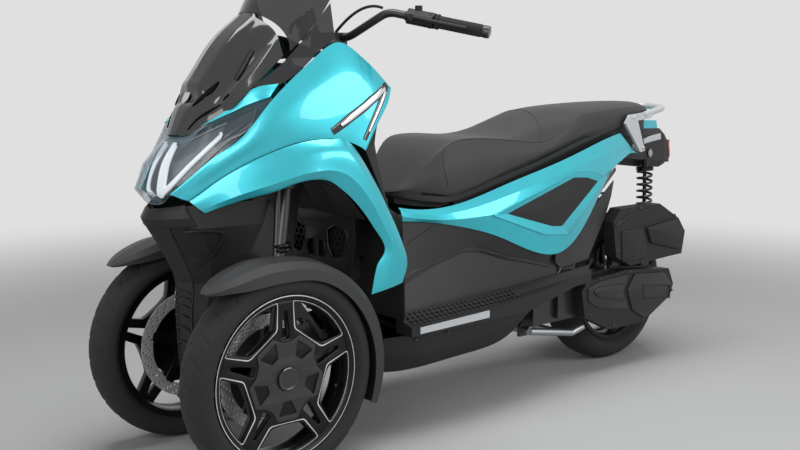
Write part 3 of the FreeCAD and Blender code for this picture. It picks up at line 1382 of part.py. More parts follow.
# Places on the grip's line from the bar's end, and distances from the bar in shares of its radius.
CLAMP_INNER = at(0, 0.205, 0).y
CLAMP_OUTER = at(0, 0.130, 0).y
PIVOT_PLACE = at(0, 0.185, 0).y
BOSS_PLACE = at(0, 0.175, 0).y
LEVER_END = at(0, 0.030, 0).y
RING_SHARE = 1.9
CYLINDER_OUT_SHARE = 2.1
CYLINDER_RADIUS_SHARE = 1.1
PIVOT_OUT_SHARE = 3.2
LEVER_BEND_SHARE = 4.4
LEVER_END_SHARE = 4.2
LINK_SHARE = 1.6
BOSS_TOP_SHARE = 1.5


def switchgear():
    """Left clamp with switch housing, brake cylinder, lever and mirror boss."""
    bar = size("bar_radius")
    inner = on_bar(CLAMP_INNER)
    outer = on_bar(CLAMP_OUTER)
    ring = round_bar(inner, outer, bar * RING_SHARE)
    forward = GRIP_LINE.cross(Vector(0, 0, 1)).normalize()
    pivot = on_bar(PIVOT_PLACE) + forward * bar * PIVOT_OUT_SHARE
    out = forward * bar * CYLINDER_OUT_SHARE
    cylinder = round_bar(inner + out, outer + out, bar * CYLINDER_RADIUS_SHARE)
    lever_end = on_bar(LEVER_END) + forward * bar * LEVER_END_SHARE
    lever = tube([pivot, outer + forward * bar * LEVER_BEND_SHARE, lever_end], size("lever_radius"), LEVER_END)
    link = round_bar(on_bar(PIVOT_PLACE) + forward * bar, pivot + forward * size("lever_radius"),
                     size("lever_radius") * LINK_SHARE)
    boss_foot = on_bar(BOSS_PLACE)
    depth = Vector(0, 0, size("mirror_thread_depth"))
    boss_top = boss_foot + Vector(0, 0, bar * BOSS_TOP_SHARE) + depth
    boss = round_bar(boss_foot, boss_top, size("mirror_thread_radius") * 2)
    bore = round_bar(on_bar(CLAMP_INNER * 2), on_bar(0), bar + SEAT)
    hole = round_bar(boss_top - depth, boss_top + Vector(0, 0, bar), size("mirror_thread_radius"))
    return fused([ring, cylinder, lever, link, boss]).cut(bore).cut(hole)


add_shape("switchgear", both_sides(switchgear()))

HOSE_POINTS = ((0.368, 0.158, 1.190), (0.404, 0.112, 1.214), (0.440, 0.044, 1.1264))
hose = tube(places(HOSE_POINTS), size("cable_radius"), at(0, 0.030, 0).y)
hose = nearest_part(hose.cut(shape_of("handlebar")), places(HOSE_POINTS)[1])
add_shape("brake_hoses", both_sides(hose))


# Stand

STAND_KNEE = (-0.490, 0.110, 0.150)
STAND_TOE = (-0.535, 0.118, 0.166)
STAND_BRACE = (-0.450, 0.104, 0.156)
STAND_HALF = at(0, 0.082, 0)
BRACE_SHARE = 0.8


def centre_stand():
    """Centre stand folded up under the engine."""
    radius = size("stand_tube_radius")
    leg = tube([STAND_PIVOT + STAND_HALF, at(*STAND_KNEE), at(*STAND_TOE)], radius, at(0.02, 0, 0).x)
    pivot = round_bar(STAND_PIVOT - STAND_HALF, STAND_PIVOT + STAND_HALF, radius)
    brace = round_bar(mirrored_place(at(*STAND_BRACE)), at(*STAND_BRACE), radius * BRACE_SHARE)
    return fused([leg, mirrored(leg), pivot, brace])


add_shape("centre_stand", centre_stand())

# Frame

FRAME_TOWER_SHARES = (
    (0.885, 0.118), (0.885, 0.180), (0.800, 0.350), (0.800, 0.440), (0.690, 0.750), (0.562, 0.885),
    (0.515, 0.880), (0.500, 0.830), (0.560, 0.700), (0.600, 0.440), (0.480, 0.285), (0.480, 0.215),
    (0.720, 0.118),
)
# Struts: the piece that each carries, its start, its end past that piece, and if it has a twin.
STRUTS = (
    ("headlamp_housing", (0.840, 0.000, 0.790), (1.020, 0.000, 0.790), False),
    ("nose_cowl", (0.820, 0.000, 0.780), (0.880, 0.000, 1.020), False),
    ("chin_fairing", (0.690, 0.000, 0.655), (1.030, 0.000, 0.655), False),
    ("chin_fairing", (0.800, 0.000, 0.300), (0.960, 0.000, 0.300), False),
    ("front_fairing", (0.620, 0.020, 0.790), (0.600, 0.290, 0.890), True),
    ("front_fairing", (0.830, 0.010, 0.785), (0.842, 0.210, 0.835), True),
    ("arch_panels", (0.640, 0.020, 0.786), (0.665, 0.310, 0.812), True),
    ("arch_panels", (0.415, 0.000, 0.500), (0.415, 0.310, 0.520), True),
    ("inner_shield", (0.530, 0.000, 0.935), (0.330, 0.000, 0.935), False),
    ("inner_shield", (0.415, 0.000, 0.640), (0.330, 0.000, 0.640), False),
    ("dashboard", (0.524, 0.000, 0.925), (0.600, 0.000, 1.160), False),
    ("windscreen", (0.546, 0.000, 0.872), (0.690, 0.000, 1.240), False),
    ("belly_pan", (0.100, 0.000, 0.250), (0.100, 0.000, 0.120), False),
    ("tunnel", (0.100, 0.000, 0.250), (0.100, 0.000, 0.640), False),
    ("side_panels", (0.100, 0.134, 0.610), (0.100, 0.230, 0.610), True),
    ("side_panels", (-0.500, 0.130, 0.585), (-0.500, 0.250, 0.620), True),
    ("rear_covers", (-0.448, 0.130, 0.470), (-0.448, 0.250, 0.470), True),
    ("tail_housing", (-0.660, 0.112, 0.672), (-0.760, 0.085, 0.740), True),
)


def strut(name, start, end):
    """Square bar that stops just short of the piece that it carries."""
    bar = square_bar(start, end, size("strut_width"))
    reached = bar.cut(shape_of(name).translated((start - end).normalize() * SEAT))
    if bar.Volume - reached.Volume < SEAT:
        raise RuntimeError(f"no strut reaches {name}")
    return nearest_part(reached, start)


# Blocks of the frame, each from its low corner to its high one.
BEAM = ((-0.140, -0.028, 0.215), (0.500, 0.028, 0.285))
POST = ((0.403, -0.012, 0.270), (0.427, 0.012, 0.660))
CROSS_BLOCK = ((-0.150, -0.130, 0.215), (-0.080, 0.130, 0.290))
OUTRIGGERS = (
    ((-0.100, -0.194, 0.280), (-0.070, 0.194, 0.2952)),
    ((0.235, -0.194, 0.280), (0.265, 0.194, 0.2952)),
)
TIES = (((0.420, -0.012, 0.480), (0.446, 0.012, 0.500)), ((0.420, -0.012, 0.590), (0.446, 0.012, 0.610)))
SPINE = ((0.660, 0, 0.735), (0.850, 0, 0.790))
SEAT_RAIL = (
    (-0.120, 0.119, 0.270), (-0.360, RAIL_ACROSS, 0.345), (-0.540, RAIL_ACROSS, 0.600), (-0.680, 0.110, 0.685),
)
UPPER_RAIL = ((-0.520, 0.136, 0.590), (0.110, 0.136, 0.612))
ENGINE_BAR_END = at(-0.420, RAIL_ACROSS, 0.4346)


def frame():
    """Front tower with its spine, steering head, floor beam, seat rails and the struts of the panels."""
    half = at(0, TOWER_HALF_SHARE, 0)
    tower = prism([at(x, 0, z) - half for x, z in FRAME_TOWER_SHARES], half * 2)
    cross = round_bar(mirrored_place(CROSS_END), CROSS_END, size("tube_radius"))
    spine = square_bar(at(*SPINE[0]), at(*SPINE[1]), size("tube_radius") * 2)
    blocks = [block(at(*low), at(*high)) for low, high in (BEAM, POST, CROSS_BLOCK, *OUTRIGGERS)]
    blocks += [block(at(*low), at(*high) - Vector(SEAT, 0, 0)) for low, high in TIES]
    head_radius = size("column_radius") + size("tube_radius")
    head = round_bar(steering_place(-0.262), steering_place(-0.130), head_radius)
    bore = round_bar(steering_place(-0.300), steering_place(0), size("column_radius") + size("running_gap"))
    rail = tube(places(SEAT_RAIL), size("tube_radius"), at(0.06, 0, 0).x)
    upper_rail = square_bar(at(*UPPER_RAIL[0]), at(*UPPER_RAIL[1]), size("strut_width"))
    bars = [rail, mirrored(rail), upper_rail, mirrored(upper_rail)]
    engine_bar = round_bar(mirrored_place(ENGINE_BAR_END), ENGINE_BAR_END, size("tube_radius"))
    carried = []
    for name, start, end, twin in STRUTS:
        made = strut(name, at(*start), at(*end))
        carried.append(made)
        if twin:
            carried.append(mirrored(made))
    return fused([tower, cross, spine, *blocks, head, *bars, engine_bar, *carried]).cut(bore)


add_shape("frame", frame())

doc.recompute()
os.makedirs("parts", exist_ok=True)
faulty = [item.Label for item in doc.Objects if "Invalid" in item.State or "Error" in item.State]
faulty += [piece.Label for piece in nodes if piece.Shape.isNull() or not piece.Shape.isValid()]
if faulty:
    raise RuntimeError(f"failed pieces: {faulty}")
for piece in nodes:
    piece.Shape.exportStep(f"parts/{piece.Label}.step")
print(f"{len(nodes)} pieces")
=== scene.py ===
"""The looks of a leaning three-wheel scooter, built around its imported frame.

Lengths are in metres, but the places given to skin() are in millimetres. +X is forward,
+Y is the rider's left and the floor is z = 0.
"""

from __future__ import annotations

import logging
import math
from dataclasses import dataclass, field
from enum import Enum
from typing import Any, Callable, Sequence

import bmesh
import bpy
from mathutils import Matrix, Vector


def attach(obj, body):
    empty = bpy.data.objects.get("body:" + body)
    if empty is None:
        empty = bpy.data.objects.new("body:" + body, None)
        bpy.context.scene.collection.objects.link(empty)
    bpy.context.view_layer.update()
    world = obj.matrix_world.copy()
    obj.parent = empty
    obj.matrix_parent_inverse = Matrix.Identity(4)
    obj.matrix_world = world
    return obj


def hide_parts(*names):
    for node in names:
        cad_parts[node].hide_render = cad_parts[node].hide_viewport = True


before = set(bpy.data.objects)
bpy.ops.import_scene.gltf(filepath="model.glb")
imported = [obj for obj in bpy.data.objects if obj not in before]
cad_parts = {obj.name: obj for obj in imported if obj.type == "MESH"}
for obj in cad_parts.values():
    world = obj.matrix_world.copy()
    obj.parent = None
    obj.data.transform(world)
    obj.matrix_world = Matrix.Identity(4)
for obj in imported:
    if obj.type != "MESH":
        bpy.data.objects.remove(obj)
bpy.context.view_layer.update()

LOG = logging.getLogger("scooter")
SMOOTH_DEGREES = 32.0  # edges that bend less are shaded smooth
WELD = 1e-6  # points nearer than this become one
TIP = 1e-5  # least radius of a turned shape, so that its end stays a face
MILLIMETRES = 1000  # in a metre
Pair = tuple[float, float]
Point = tuple[float, float, float]
Colour = tuple[float, float, float]


class Side(Enum):
    """The rider's left and right, as the sign of y."""

    LEFT = 1
    RIGHT = -1


BOTH_SIDES = (Side.LEFT, Side.RIGHT)
FRONT_WHEEL: Point = (0.78, 0.24, 0.27)  # centre of the left one
REAR_WHEEL: Point = (-0.78, 0.0, 0.257)


def on_side(place: Point, side: Side) -> Point:
    """A left-hand place, on the side asked for."""
    return (place[0], place[1] * side.value, place[2])


class Grain(Enum):
    """The fine relief of a surface."""

    FLAKE = "metal flake under clear coat"
    GLOSS = "smooth moulding"
    MOULDED = "spark-eroded plastic"
    RUBBER = "rubber"
    LEATHER = "pebbled cover"
    CAST = "sand-cast metal"
    BRUSHED = "lines left by a tool"


class NodeBuilder:
    """Adds nodes to a tree and joins their sockets."""

    def __init__(self, tree: bpy.types.NodeTree) -> None:
        """Keeps the tree to build in.

        Args:
            tree: A shader or geometry tree.
        """
        self.tree = tree

    def add(self, kind: str, inputs: dict[Any, Any] | None = None, **settings: Any) -> bpy.types.Node:
        """Adds a node, sets it and fills its inputs.

        Args:
            kind: The node's type name.
            inputs: Sockets by name or number, each with a value or a socket to join.
            settings: The node's own options.

        Returns:
            The new node.
        """
        node = self.tree.nodes.new(kind)
        for name, value in settings.items():
            setattr(node, name, value)
        for key, value in (inputs or {}).items():
            socket = node.inputs[key]
            if isinstance(value, bpy.types.NodeSocket):
                self.tree.links.new(value, socket)
            else:
                socket.default_value = value
        return node

    def math(self, operation: str, *values: Any) -> bpy.types.NodeSocket:
        """Joins values by one arithmetic step.

        Args:
            operation: The Math node's operation.
            values: Numbers or sockets, in order.

        Returns:
            The result's socket.
        """
        return self.add("ShaderNodeMath", dict(enumerate(values)), operation=operation).outputs[0]


def cleared(owner: bpy.types.Material | bpy.types.World) -> NodeBuilder:
    """A builder for the emptied node tree of a material or a world.

    Args:
        owner: The material or the world.

    Returns:
        The builder.
    """
    owner.use_nodes = True
    owner.node_tree.nodes.clear()
    return NodeBuilder(owner.node_tree)


def placed(name: str, data: bpy.types.ID | None) -> bpy.types.Object:
    """A new object in the scene that holds the data.

    Args:
        name: The object's name.
        data: What it holds.

    Returns:
        The object.
    """
    made = bpy.data.objects.new(name, data)
    bpy.context.scene.collection.objects.link(made)
    return made


@dataclass(frozen=True)
class Finish:
    """One surface finish, with the fine detail that the real surface shows.

    Attributes:
        name: The material's name.
        slot: The record's material slot; not used.
        colour: Base colour, linear.
        rough: Roughness, 0 to 1.
        metal: Metallic share.
        coat: Clear coat weight.
        grain: Kind of fine relief.
        grain_size: Width of one grain in metres.
        grain_depth: Height of the relief in metres.
        mottle: How far the colour and roughness wander, as a share.
        sheen: Weight of the soft edge light of rubber and cloth.
        alpha: Opacity, under 1 for screens and lenses.
        glow: Strength of a lamp's own light.
        shine: Strength of the mirror-like reflection, 0.5 as usual.
        edge_blend: How far a screen's denser edges reach in.
        broad: Patches of the wandering colour in a metre.
        flake_share: Share of the metal flakes in the paint's wandering.
    """

    name: str
    slot: str
    colour: Colour
    rough: float
    metal: float = 0.0
    coat: float = 0.0
    grain: Grain = Grain.GLOSS
    grain_size: float = 0.0012
    grain_depth: float = 0.00002
    mottle: float = 0.06
    sheen: float = 0.0
    alpha: float = 1.0
    glow: float = 0.0
    shine: float = 0.5
    edge_blend: float = 0.2
    broad: float = 9.0
    flake_share: float = 0.55

    def material(self) -> bpy.types.Material:
        """The material, made once.

        Returns:
            The Blender material of this finish.
        """
        found = bpy.data.materials.get(self.name)
        if found:
            return found
        made = bpy.data.materials.new(self.name)
        nodes = cleared(made)
        place = nodes.add("ShaderNodeTexCoord").outputs["Object"]
        shader = nodes.add(
            "ShaderNodeBsdfPrincipled",
            {
                "Metallic": self.metal,
                "Specular IOR Level": self.shine,
                "Coat Weight": self.coat,
                "Sheen Weight": self.sheen,
                "Alpha": self.alpha,
                "Emission Color": (*self.colour, 1),
                "Emission Strength": self.glow,
            },
        )
        if self.alpha < 1:
            grazing = nodes.add("ShaderNodeLayerWeight", {"Blend": self.edge_blend}).outputs["Fresnel"]
            dense = (1 + self.alpha) / 2
            seen = nodes.add(
                "ShaderNodeMapRange", {"Value": grazing, "To Min": self.alpha, "To Max": dense}
            ).outputs[0]
            nodes.tree.links.new(seen, shader.inputs["Alpha"])
        self._tint(nodes, place, shader)
        self._relief(nodes, place, shader)
        nodes.add("ShaderNodeOutputMaterial", {"Surface": shader.outputs[0]})
        return made

    def _tint(self, nodes: NodeBuilder, place: bpy.types.NodeSocket, shader: bpy.types.Node) -> None:
        """Lets the colour and the roughness wander a little over the piece.

        Args:
            nodes: Builder of the material's tree.
            place: Object coordinates.
            shader: The surface shader.
        """
        broad = nodes.add(
            "ShaderNodeTexNoise", {"Vector": place, "Scale": self.broad, "Detail": 3.0}
        ).outputs[0]
        if self.grain is Grain.FLAKE:
            flakes = nodes.add("ShaderNodeTexVoronoi", {"Vector": place, "Scale": 1 / self.grain_size})
            glitter = nodes.math("MULTIPLY", flakes.outputs["Color"], self.flake_share)
            broad = nodes.math("ADD", glitter, nodes.math("MULTIPLY", broad, 1 - self.flake_share))
        least, most = 1 - self.mottle, 1 + self.mottle
        span = {"From Min": 0.25, "From Max": 0.75, "To Min": least, "To Max": most}
        ramp = nodes.add("ShaderNodeMapRange", {"Value": broad, **span})
        shade = nodes.add(
            "ShaderNodeMixRGB", {"Fac": 1.0, "Color1": (*self.colour, 1), "Color2": ramp.outputs[0]},
            blend_type="MULTIPLY"
        )
        nodes.tree.links.new(shade.outputs[0], shader.inputs["Base Color"])
        rough = nodes.math("MULTIPLY", ramp.outputs[0], self.rough)
        nodes.tree.links.new(rough, shader.inputs["Roughness"])

    def _relief(self, nodes: NodeBuilder, place: bpy.types.NodeSocket, shader: bpy.types.Node) -> None:
        """Adds the fine relief of the finish.

        Args:
            nodes: Builder of the material's tree.
            place: Object coordinates.
            shader: The surface shader.
        """
        scale = 1 / self.grain_size
        fine = {"Vector": place, "Scale": scale, "Detail": 2.0}
        if self.grain is Grain.LEATHER:
            cells = nodes.add("ShaderNodeTexVoronoi", {"Vector": place, "Scale": scale}, feature="SMOOTH_F1")
            height = nodes.math("SUBTRACT", 1.0, cells.outputs["Distance"])
        else:
            if self.grain is Grain.BRUSHED:
                drawn = nodes.add("ShaderNodeMapping", {"Vector": place, "Scale": (1.0, 1.0, 30.0)})
                fine |= {"Vector": drawn.outputs[0], "Scale": scale * 0.1}
            elif self.grain is Grain.CAST:
                fine |= {"Detail": 5.0, "Roughness": 0.7}
            elif self.grain in (Grain.GLOSS, Grain.FLAKE):
                fine |= {"Scale": 60.0, "Detail": 1.0}
            height = nodes.add("ShaderNodeTexNoise", fine).outputs[0]
        bump = nodes.add("ShaderNodeBump", {"Strength": 1.0, "Distance": self.grain_depth, "Height": height})
        nodes.tree.links.new(bump.outputs[0], shader.inputs["Normal"])


class Finishes:
    """Every finish of the scooter, and the painted shade of the cowl's hollows."""

    PAINT = Finish(
        "turquoise_paint", "paint_turquoise", (0.030, 0.56, 0.66), 0.33, metal=0.5, coat=0.8,
        grain=Grain.FLAKE, grain_size=0.0007, grain_depth=0.00001, mottle=0.12
    )
    # Painted shade: a near-black, barely reflecting finish for the bands laid in the nose cowl's hollows, in
    # place of the shadow that falls there.
    PAINTED_RECESS_SHADE = Finish(
        "painted_recess_shade", "matte_black", (0.003, 0.003, 0.003), 0.8, grain=Grain.MOULDED, shine=0.1
    )
    GLOSS_BLACK = Finish(
        "gloss_black_plastic", "gloss_black", (0.008, 0.008, 0.009), 0.12, coat=0.8, grain_depth=0.00001
    )
    MATTE_BLACK = Finish(
        "grained_black_plastic", "matte_black", (0.015, 0.015, 0.016), 0.52, grain=Grain.MOULDED,
        grain_depth=0.00006, shine=0.35
    )
    MATTE_GREY = Finish(
        "grained_grey_plastic", "matte_grey", (0.038, 0.038, 0.039), 0.52, grain=Grain.MOULDED,
        grain_depth=0.00006, shine=0.4
    )
    RIM = Finish(
        "satin_black_rim", "rim_black", (0.004, 0.004, 0.0045), 0.32, coat=0.12, grain_depth=0.00002,
        shine=0.25
    )
    STRIPE = Finish("white_rim_stripe", "silver_paint", (0.80, 0.80, 0.80), 0.35, coat=0.4, mottle=0.02)
    TYRE = Finish(
        "tyre_rubber", "tyre_rubber", (0.018, 0.018, 0.019), 0.72, grain=Grain.RUBBER, grain_size=0.002,
        grain_depth=0.00008, sheen=0.15
    )
    GRIP = Finish(
        "grip_rubber", "grip_rubber", (0.014, 0.014, 0.015), 0.7, grain=Grain.RUBBER, grain_depth=0.00005,
        sheen=0.1
    )
    STEEL = Finish(
        "ground_steel", "steel", (0.62, 0.62, 0.63), 0.42, metal=0.45, grain=Grain.BRUSHED,
        grain_depth=0.00003
    )
    ALLOY = Finish(
        "cast_alloy", "cast_alloy", (0.45, 0.45, 0.46), 0.42, metal=0.9, grain=Grain.CAST, grain_depth=0.0001
    )
    BLACK_STEEL = Finish(
        "black_painted_steel", "black_steel", (0.02, 0.02, 0.021), 0.35, coat=0.3, grain=Grain.CAST,
        grain_depth=0.00004
    )
    CHROME = Finish("bright_chrome", "chrome", (0.85, 0.86, 0.88), 0.06, metal=1.0)
    SILVER = Finish(
        "silver_paint", "silver_paint", (0.55, 0.56, 0.57), 0.3, metal=0.6, coat=0.6, grain=Grain.FLAKE,
        grain_size=0.0007, grain_depth=0.00001
    )
    SCREEN = Finish("smoked_screen", "screen_tint", (0.012, 0.013, 0.015), 0.05, alpha=0.80, coat=0.5)
    LENS = Finish("clear_lens", "lens_clear", (0.25, 0.36, 0.42), 0.02, alpha=0.10, coat=1.0)
    LAMP_GREY = Finish(
        "lamp_inside", "lamp_grey", (0.10, 0.105, 0.11), 0.38, metal=0.55, grain=Grain.MOULDED,
        grain_size=0.0016, grain_depth=0.0002
    )
    LIGHT_BAR = Finish("light_bar", "lens_clear", (0.86, 0.90, 0.94), 0.22, coat=0.6, glow=0.55, mottle=0.02)
    REFLECTOR = Finish(
        "dark_reflector", "lamp_grey", (0.05, 0.052, 0.056), 0.12, metal=0.8, grain=Grain.BRUSHED,
        grain_depth=0.00003
    )
    REFLECTOR_PALE = Finish(
        "pale_reflector", "lamp_grey", (0.36, 0.36, 0.37), 0.25, coat=1.0, grain=Grain.LEATHER,
        grain_size=0.003, grain_depth=0.0002
    )
    CAST_BLACK = Finish(
        "black_cast_cover", "matte_black", (0.026, 0.026, 0.027), 0.42, grain=Grain.CAST, grain_depth=0.00008,
        shine=0.4
    )
    ALLOY_DARK = Finish(
        "dark_cast_alloy", "cast_alloy", (0.06, 0.06, 0.062), 0.5, metal=0.7, grain=Grain.CAST,
        grain_depth=0.0001
    )
    LAMP_RED = Finish("red_lens", "lamp_red", (0.35, 0.008, 0.01), 0.12, coat=1.0)
    SEAT = Finish(
        "seat_cover", "seat_cover", (0.030, 0.029, 0.029), 0.50, grain=Grain.LEATHER, grain_size=0.0022,
        grain_depth=0.00015, sheen=0.12
    )


FINISHED_NODES: tuple[tuple[Finish, str], ...] = (
    (Finishes.BLACK_STEEL, "frame suspension_arms front_dampers engine silencer rear_shocks handlebar"),
    (Finishes.BLACK_STEEL, "knuckle_left knuckle_right"),
    (Finishes.PAINT, "front_fairing arch_panels side_panels tail_cowl"),
    (Finishes.GLOSS_BLACK, "nose_cowl"),
    (Finishes.SCREEN, "windscreen"),
    (Finishes.LENS, "headlamp_lens"),
    (Finishes.LAMP_GREY, "headlamp_housing"),
    (Finishes.MATTE_BLACK, "chin_fairing inner_shield dashboard arch_liner radiator footboards belly_pan"),
    (Finishes.MATTE_BLACK, "storage_bin tail_housing transmission_cover air_box seat_pan switchgear"),
    (Finishes.MATTE_GREY, "tunnel side_inserts rear_covers front_fender_left front_fender_right"),
    (Finishes.CHROME, "side_lamps"),
    (Finishes.SILVER, "sill_trims grab_rail"),
    (Finishes.LAMP_RED, "tail_lamp"),
    (Finishes.ALLOY, "centre_stand"),
    (Finishes.SEAT, "seat"),
    (Finishes.GRIP, "grips brake_hoses"),
    (Finishes.TYRE, "front_tyre_left front_tyre_right rear_tyre"),
    (Finishes.RIM, "front_rim_left front_rim_right rear_rim"),
    (Finishes.STEEL, "front_disc_left front_disc_right"),
)


def dress_frame() -> None:
    """Gives each CAD node the finish of its real part."""
    finishes = {name: finish for finish, names in FINISHED_NODES for name in names.split()}
    for name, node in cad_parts.items():
        made = finishes[name].material()
        if not node.material_slots:
            node.data.materials.append(made)
        for slot in node.material_slots:
            slot.material = made
        LOG.info("dressed %s in %s", name, made.name)


@dataclass(frozen=True)
class Lamp:
    """One soft lamp.

    Attributes:
        name: Its name.
        place: Where it hangs.
        aim: The point that it faces.
        size: Width and height of its face.
        watts: Its power.
    """

    name: str
    place: Point
    aim: Point
    size: Pair
    watts: float

    def hang(self) -> None:
        """Puts the lamp in the scene."""
        data = bpy.data.lights.new(self.name, "AREA")
        data.shape = "RECTANGLE"
        data.size, data.size_y = self.size
        data.energy = self.watts
        lamp = placed(self.name, data)
        lamp.location = self.place
        lamp.rotation_mode = "QUATERNION"
        lamp.rotation_quaternion = (Vector(self.aim) - Vector(self.place)).to_track_quat("-Z", "Y")


@dataclass
class Studio:
    """Plain pale floor, soft lamps and the camera of the photograph's angle.

    Attributes:
        azimuth: Camera's way round the object in degrees, 0 looking along +Y.
        elevation: Camera's height above the horizon in degrees.
        distance: From the camera to the point that it looks at.
        target: The point that the camera looks at.
        lens: Focal length in millimetres.
        sensor: Width of the sensor in millimetres.
        sight: Farthest place that the camera sees.
        backdrop: Colour of the backdrop, linear.
        floor_colour: Colour of the floor, linear.
        floor_radius: Radius of the floor.
        floor_clear: Distances where the floor starts to melt into the backdrop and where it is gone.
        light_colour: Colour of the even light.
        light_strength: Its strength.
        lamps: The soft lamps above, to the front left and to the side.
    """

    azimuth: float = 139.20
    elevation: float = 8.55
    distance: float = 3.3858
    target: Point = (0.1708, 0.0, 0.5647)
    lens: float = 51.17
    sensor: float = 36.0
    sight: float = 60.0
    backdrop: Colour = (0.745, 0.745, 0.745 * 1.005)
    floor_colour: Colour = (0.60, 0.60, 0.60)
    floor_radius: float = 14.0
    floor_clear: Pair = (1.7, 4.5)
    light_colour: Colour = (0.62, 0.63, 0.65)
    light_strength: float = 0.24
    lamps: tuple[Lamp, ...] = (
        Lamp("lamp_above", (0.3, 0.3, 4.2), (0.1, 0.0, 0.3), (3.6, 1.8), 106.0),
        Lamp("lamp_front", (4.2, 2.6, 2.4), (0.4, 0.2, 0.6), (2.2, 2.6), 60.0),
        Lamp("lamp_side", (-1.6, 4.4, 2.2), (-0.2, 0.2, 0.6), (3.2, 1.6), 66.0),
    )

    def build(self) -> None:
        """Makes the camera, the floor, the world and the lamps."""
        self._camera()
        self._floor()
        self._world()
        for lamp in self.lamps:
            lamp.hang()

    def _camera(self) -> None:
        """Sets the camera at the photograph's angle."""
        turn, lift = math.radians(self.azimuth), math.radians(self.elevation)
        back = Vector((math.sin(turn) * math.cos(lift), -math.cos(turn) * math.cos(lift), math.sin(lift)))
        data = bpy.data.cameras.new("camera")
        data.lens = self.lens
        data.sensor_width = self.sensor
        data.clip_end = self.sight
        camera = placed("camera", data)
        camera.rotation_mode = "QUATERNION"
        camera.location = Vector(self.target) + back * self.distance
        camera.rotation_quaternion = (-back).to_track_quat("-Z", "Y")
        bpy.context.scene.camera = camera

    def _floor(self) -> None:
        """Lays a pale floor that melts into the backdrop far from the object."""
        mesh = bpy.data.meshes.new("studio_floor")
        built = bmesh.new()
        bmesh.ops.create_circle(built, cap_ends=True, segments=96, radius=self.floor_radius)
        built.to_mesh(mesh)
        built.free()
        floor = placed("studio_floor", mesh)
        made = bpy.data.materials.new("studio_floor")
        nodes = cleared(made)
        place = nodes.add("ShaderNodeTexCoord").outputs["Object"]
        away = nodes.add("ShaderNodeVectorMath", {0: place}, operation="LENGTH").outputs["Value"]
        near, far = self.floor_clear
        span = {"Value": away, "From Min": near, "From Max": far}
        fade = nodes.add("ShaderNodeMapRange", span, interpolation_type="SMOOTHSTEP")
        matt = nodes.add("ShaderNodeBsdfDiffuse", {"Color": (*self.floor_colour, 1)})
        clear = nodes.add("ShaderNodeBsdfTransparent")
        mix = nodes.add("ShaderNodeMixShader", {0: fade.outputs[0], 1: matt.outputs[0], 2: clear.outputs[0]})
        nodes.add("ShaderNodeOutputMaterial", {"Surface": mix.outputs[0]})
        mesh.materials.append(made)

    def _world(self) -> None:
        """Lights the object evenly and shows the pale backdrop to the camera, gloss and glass."""
        world = bpy.data.worlds.new("studio")
        bpy.context.scene.world = world
        nodes = cleared(world)
        path = nodes.add("ShaderNodeLightPath").outputs
        seen = nodes.math("MAXIMUM", path["Is Camera Ray"], path["Is Transmission Ray"])
        seen = nodes.math("MAXIMUM", seen, path["Is Glossy Ray"])
        even = {"Color": (*self.light_colour, 1), "Strength": self.light_strength}
        light = nodes.add("ShaderNodeBackground", even)
        shown = nodes.add("ShaderNodeBackground", {"Color": (*self.backdrop, 1), "Strength": 1.0})
        mix = nodes.add("ShaderNodeMixShader", {0: seen, 1: light.outputs[0], 2: shown.outputs[0]})
        nodes.add("ShaderNodeOutputWorld", {"Surface": mix.outputs[0]})


@dataclass
class Shape:
    """Points and faces gathered before they become one piece.

    Attributes:
        points: Corner places.
        faces: Rows of point numbers.
    """

    points: list[Vector] = field(default_factory=list)
    faces: list[tuple[int, ...]] = field(default_factory=list)

    def net(self, rows: Sequence[Sequence[Vector]], closed: bool = False, capped: bool = False) -> Shape:
        """Adds a net of four-sided faces over rows of points.

        Args:
            rows: Rows of equally many points.
            closed: Joins each row's end to its start.
            capped: Closes the first and the last row.

        Returns:
            This shape.
        """
        first, across = len(self.points), len(rows[0])
        self.points += [Vector(place) for row in rows for place in row]
        for row in range(len(rows) - 1):
            for column in range(across if closed else across - 1):
                following = (column + 1) % across
                low, high = first + row * across, first + (row + 1) * across
                self.faces.append((low + column, low + following, high + following, high + column))
        if capped:
            last = first + (len(rows) - 1) * across
            self.faces.append(tuple(reversed(range(first, first + across))))
            self.faces.append(tuple(range(last, last + across)))
        return self

    def add(self, other: Shape) -> Shape:
        """Adds another shape's points and faces.

        Args:
            other: The shape to add.

        Returns:
            This shape.
        """
        first = len(self.points)
        self.points += other.points
        self.faces += [tuple(first + number for number in face) for face in other.faces]
        return self

    def moved(self, change: Callable[[Vector], Vector]) -> Shape:
        """A copy with every point changed.

        Args:
            change: What becomes of a point.

        Returns:
            The changed copy.
        """
        return Shape([change(place) for place in self.points], list(self.faces))

    def other_side(self) -> Shape:
        """The same shape on the other side of the vehicle."""
        return self.moved(lambda place: Vector((place.x, -place.y, place.z)))


def curve_at(before: Vector, start: Vector, end: Vector, after: Vector, t: float) -> Vector:
    """A place between start and end on the smooth line through four corners.

    Args:
        before: The corner before the start.
        start: Where t is 0.
        end: Where t is 1.
        after: The corner after the end.
        t: Way from start to end.

    Returns:
        The place.
    """
    square = before * 2 - start * 5 + end * 4 - after
    cube = start * 3 - before - end * 3 + after
    return 0.5 * (start * 2 + (end - before) * t + square * t**2 + cube * t**3)


def smooth_line(corners: Sequence[Vector], steps: int) -> list[Vector]:
    """A smooth line through all the corners.

    Args:
        corners: The places to pass through.
        steps: Points from one corner to the next.

    Returns:
        Places along the line.
    """
    carried = [corners[0] * 2 - corners[1], *corners, corners[-1] * 2 - corners[-2]]
    spans = [carried[number : number + 4] for number in range(len(corners) - 1)]
    return [curve_at(*span, step / steps) for span in spans for step in range(steps)] + [Vector(corners[-1])]


def around(first: Vector, second: Vector, angle: float) -> Vector:
    """The direction at an angle from the first one towards the second."""
    return first * math.cos(angle) + second * math.sin(angle)


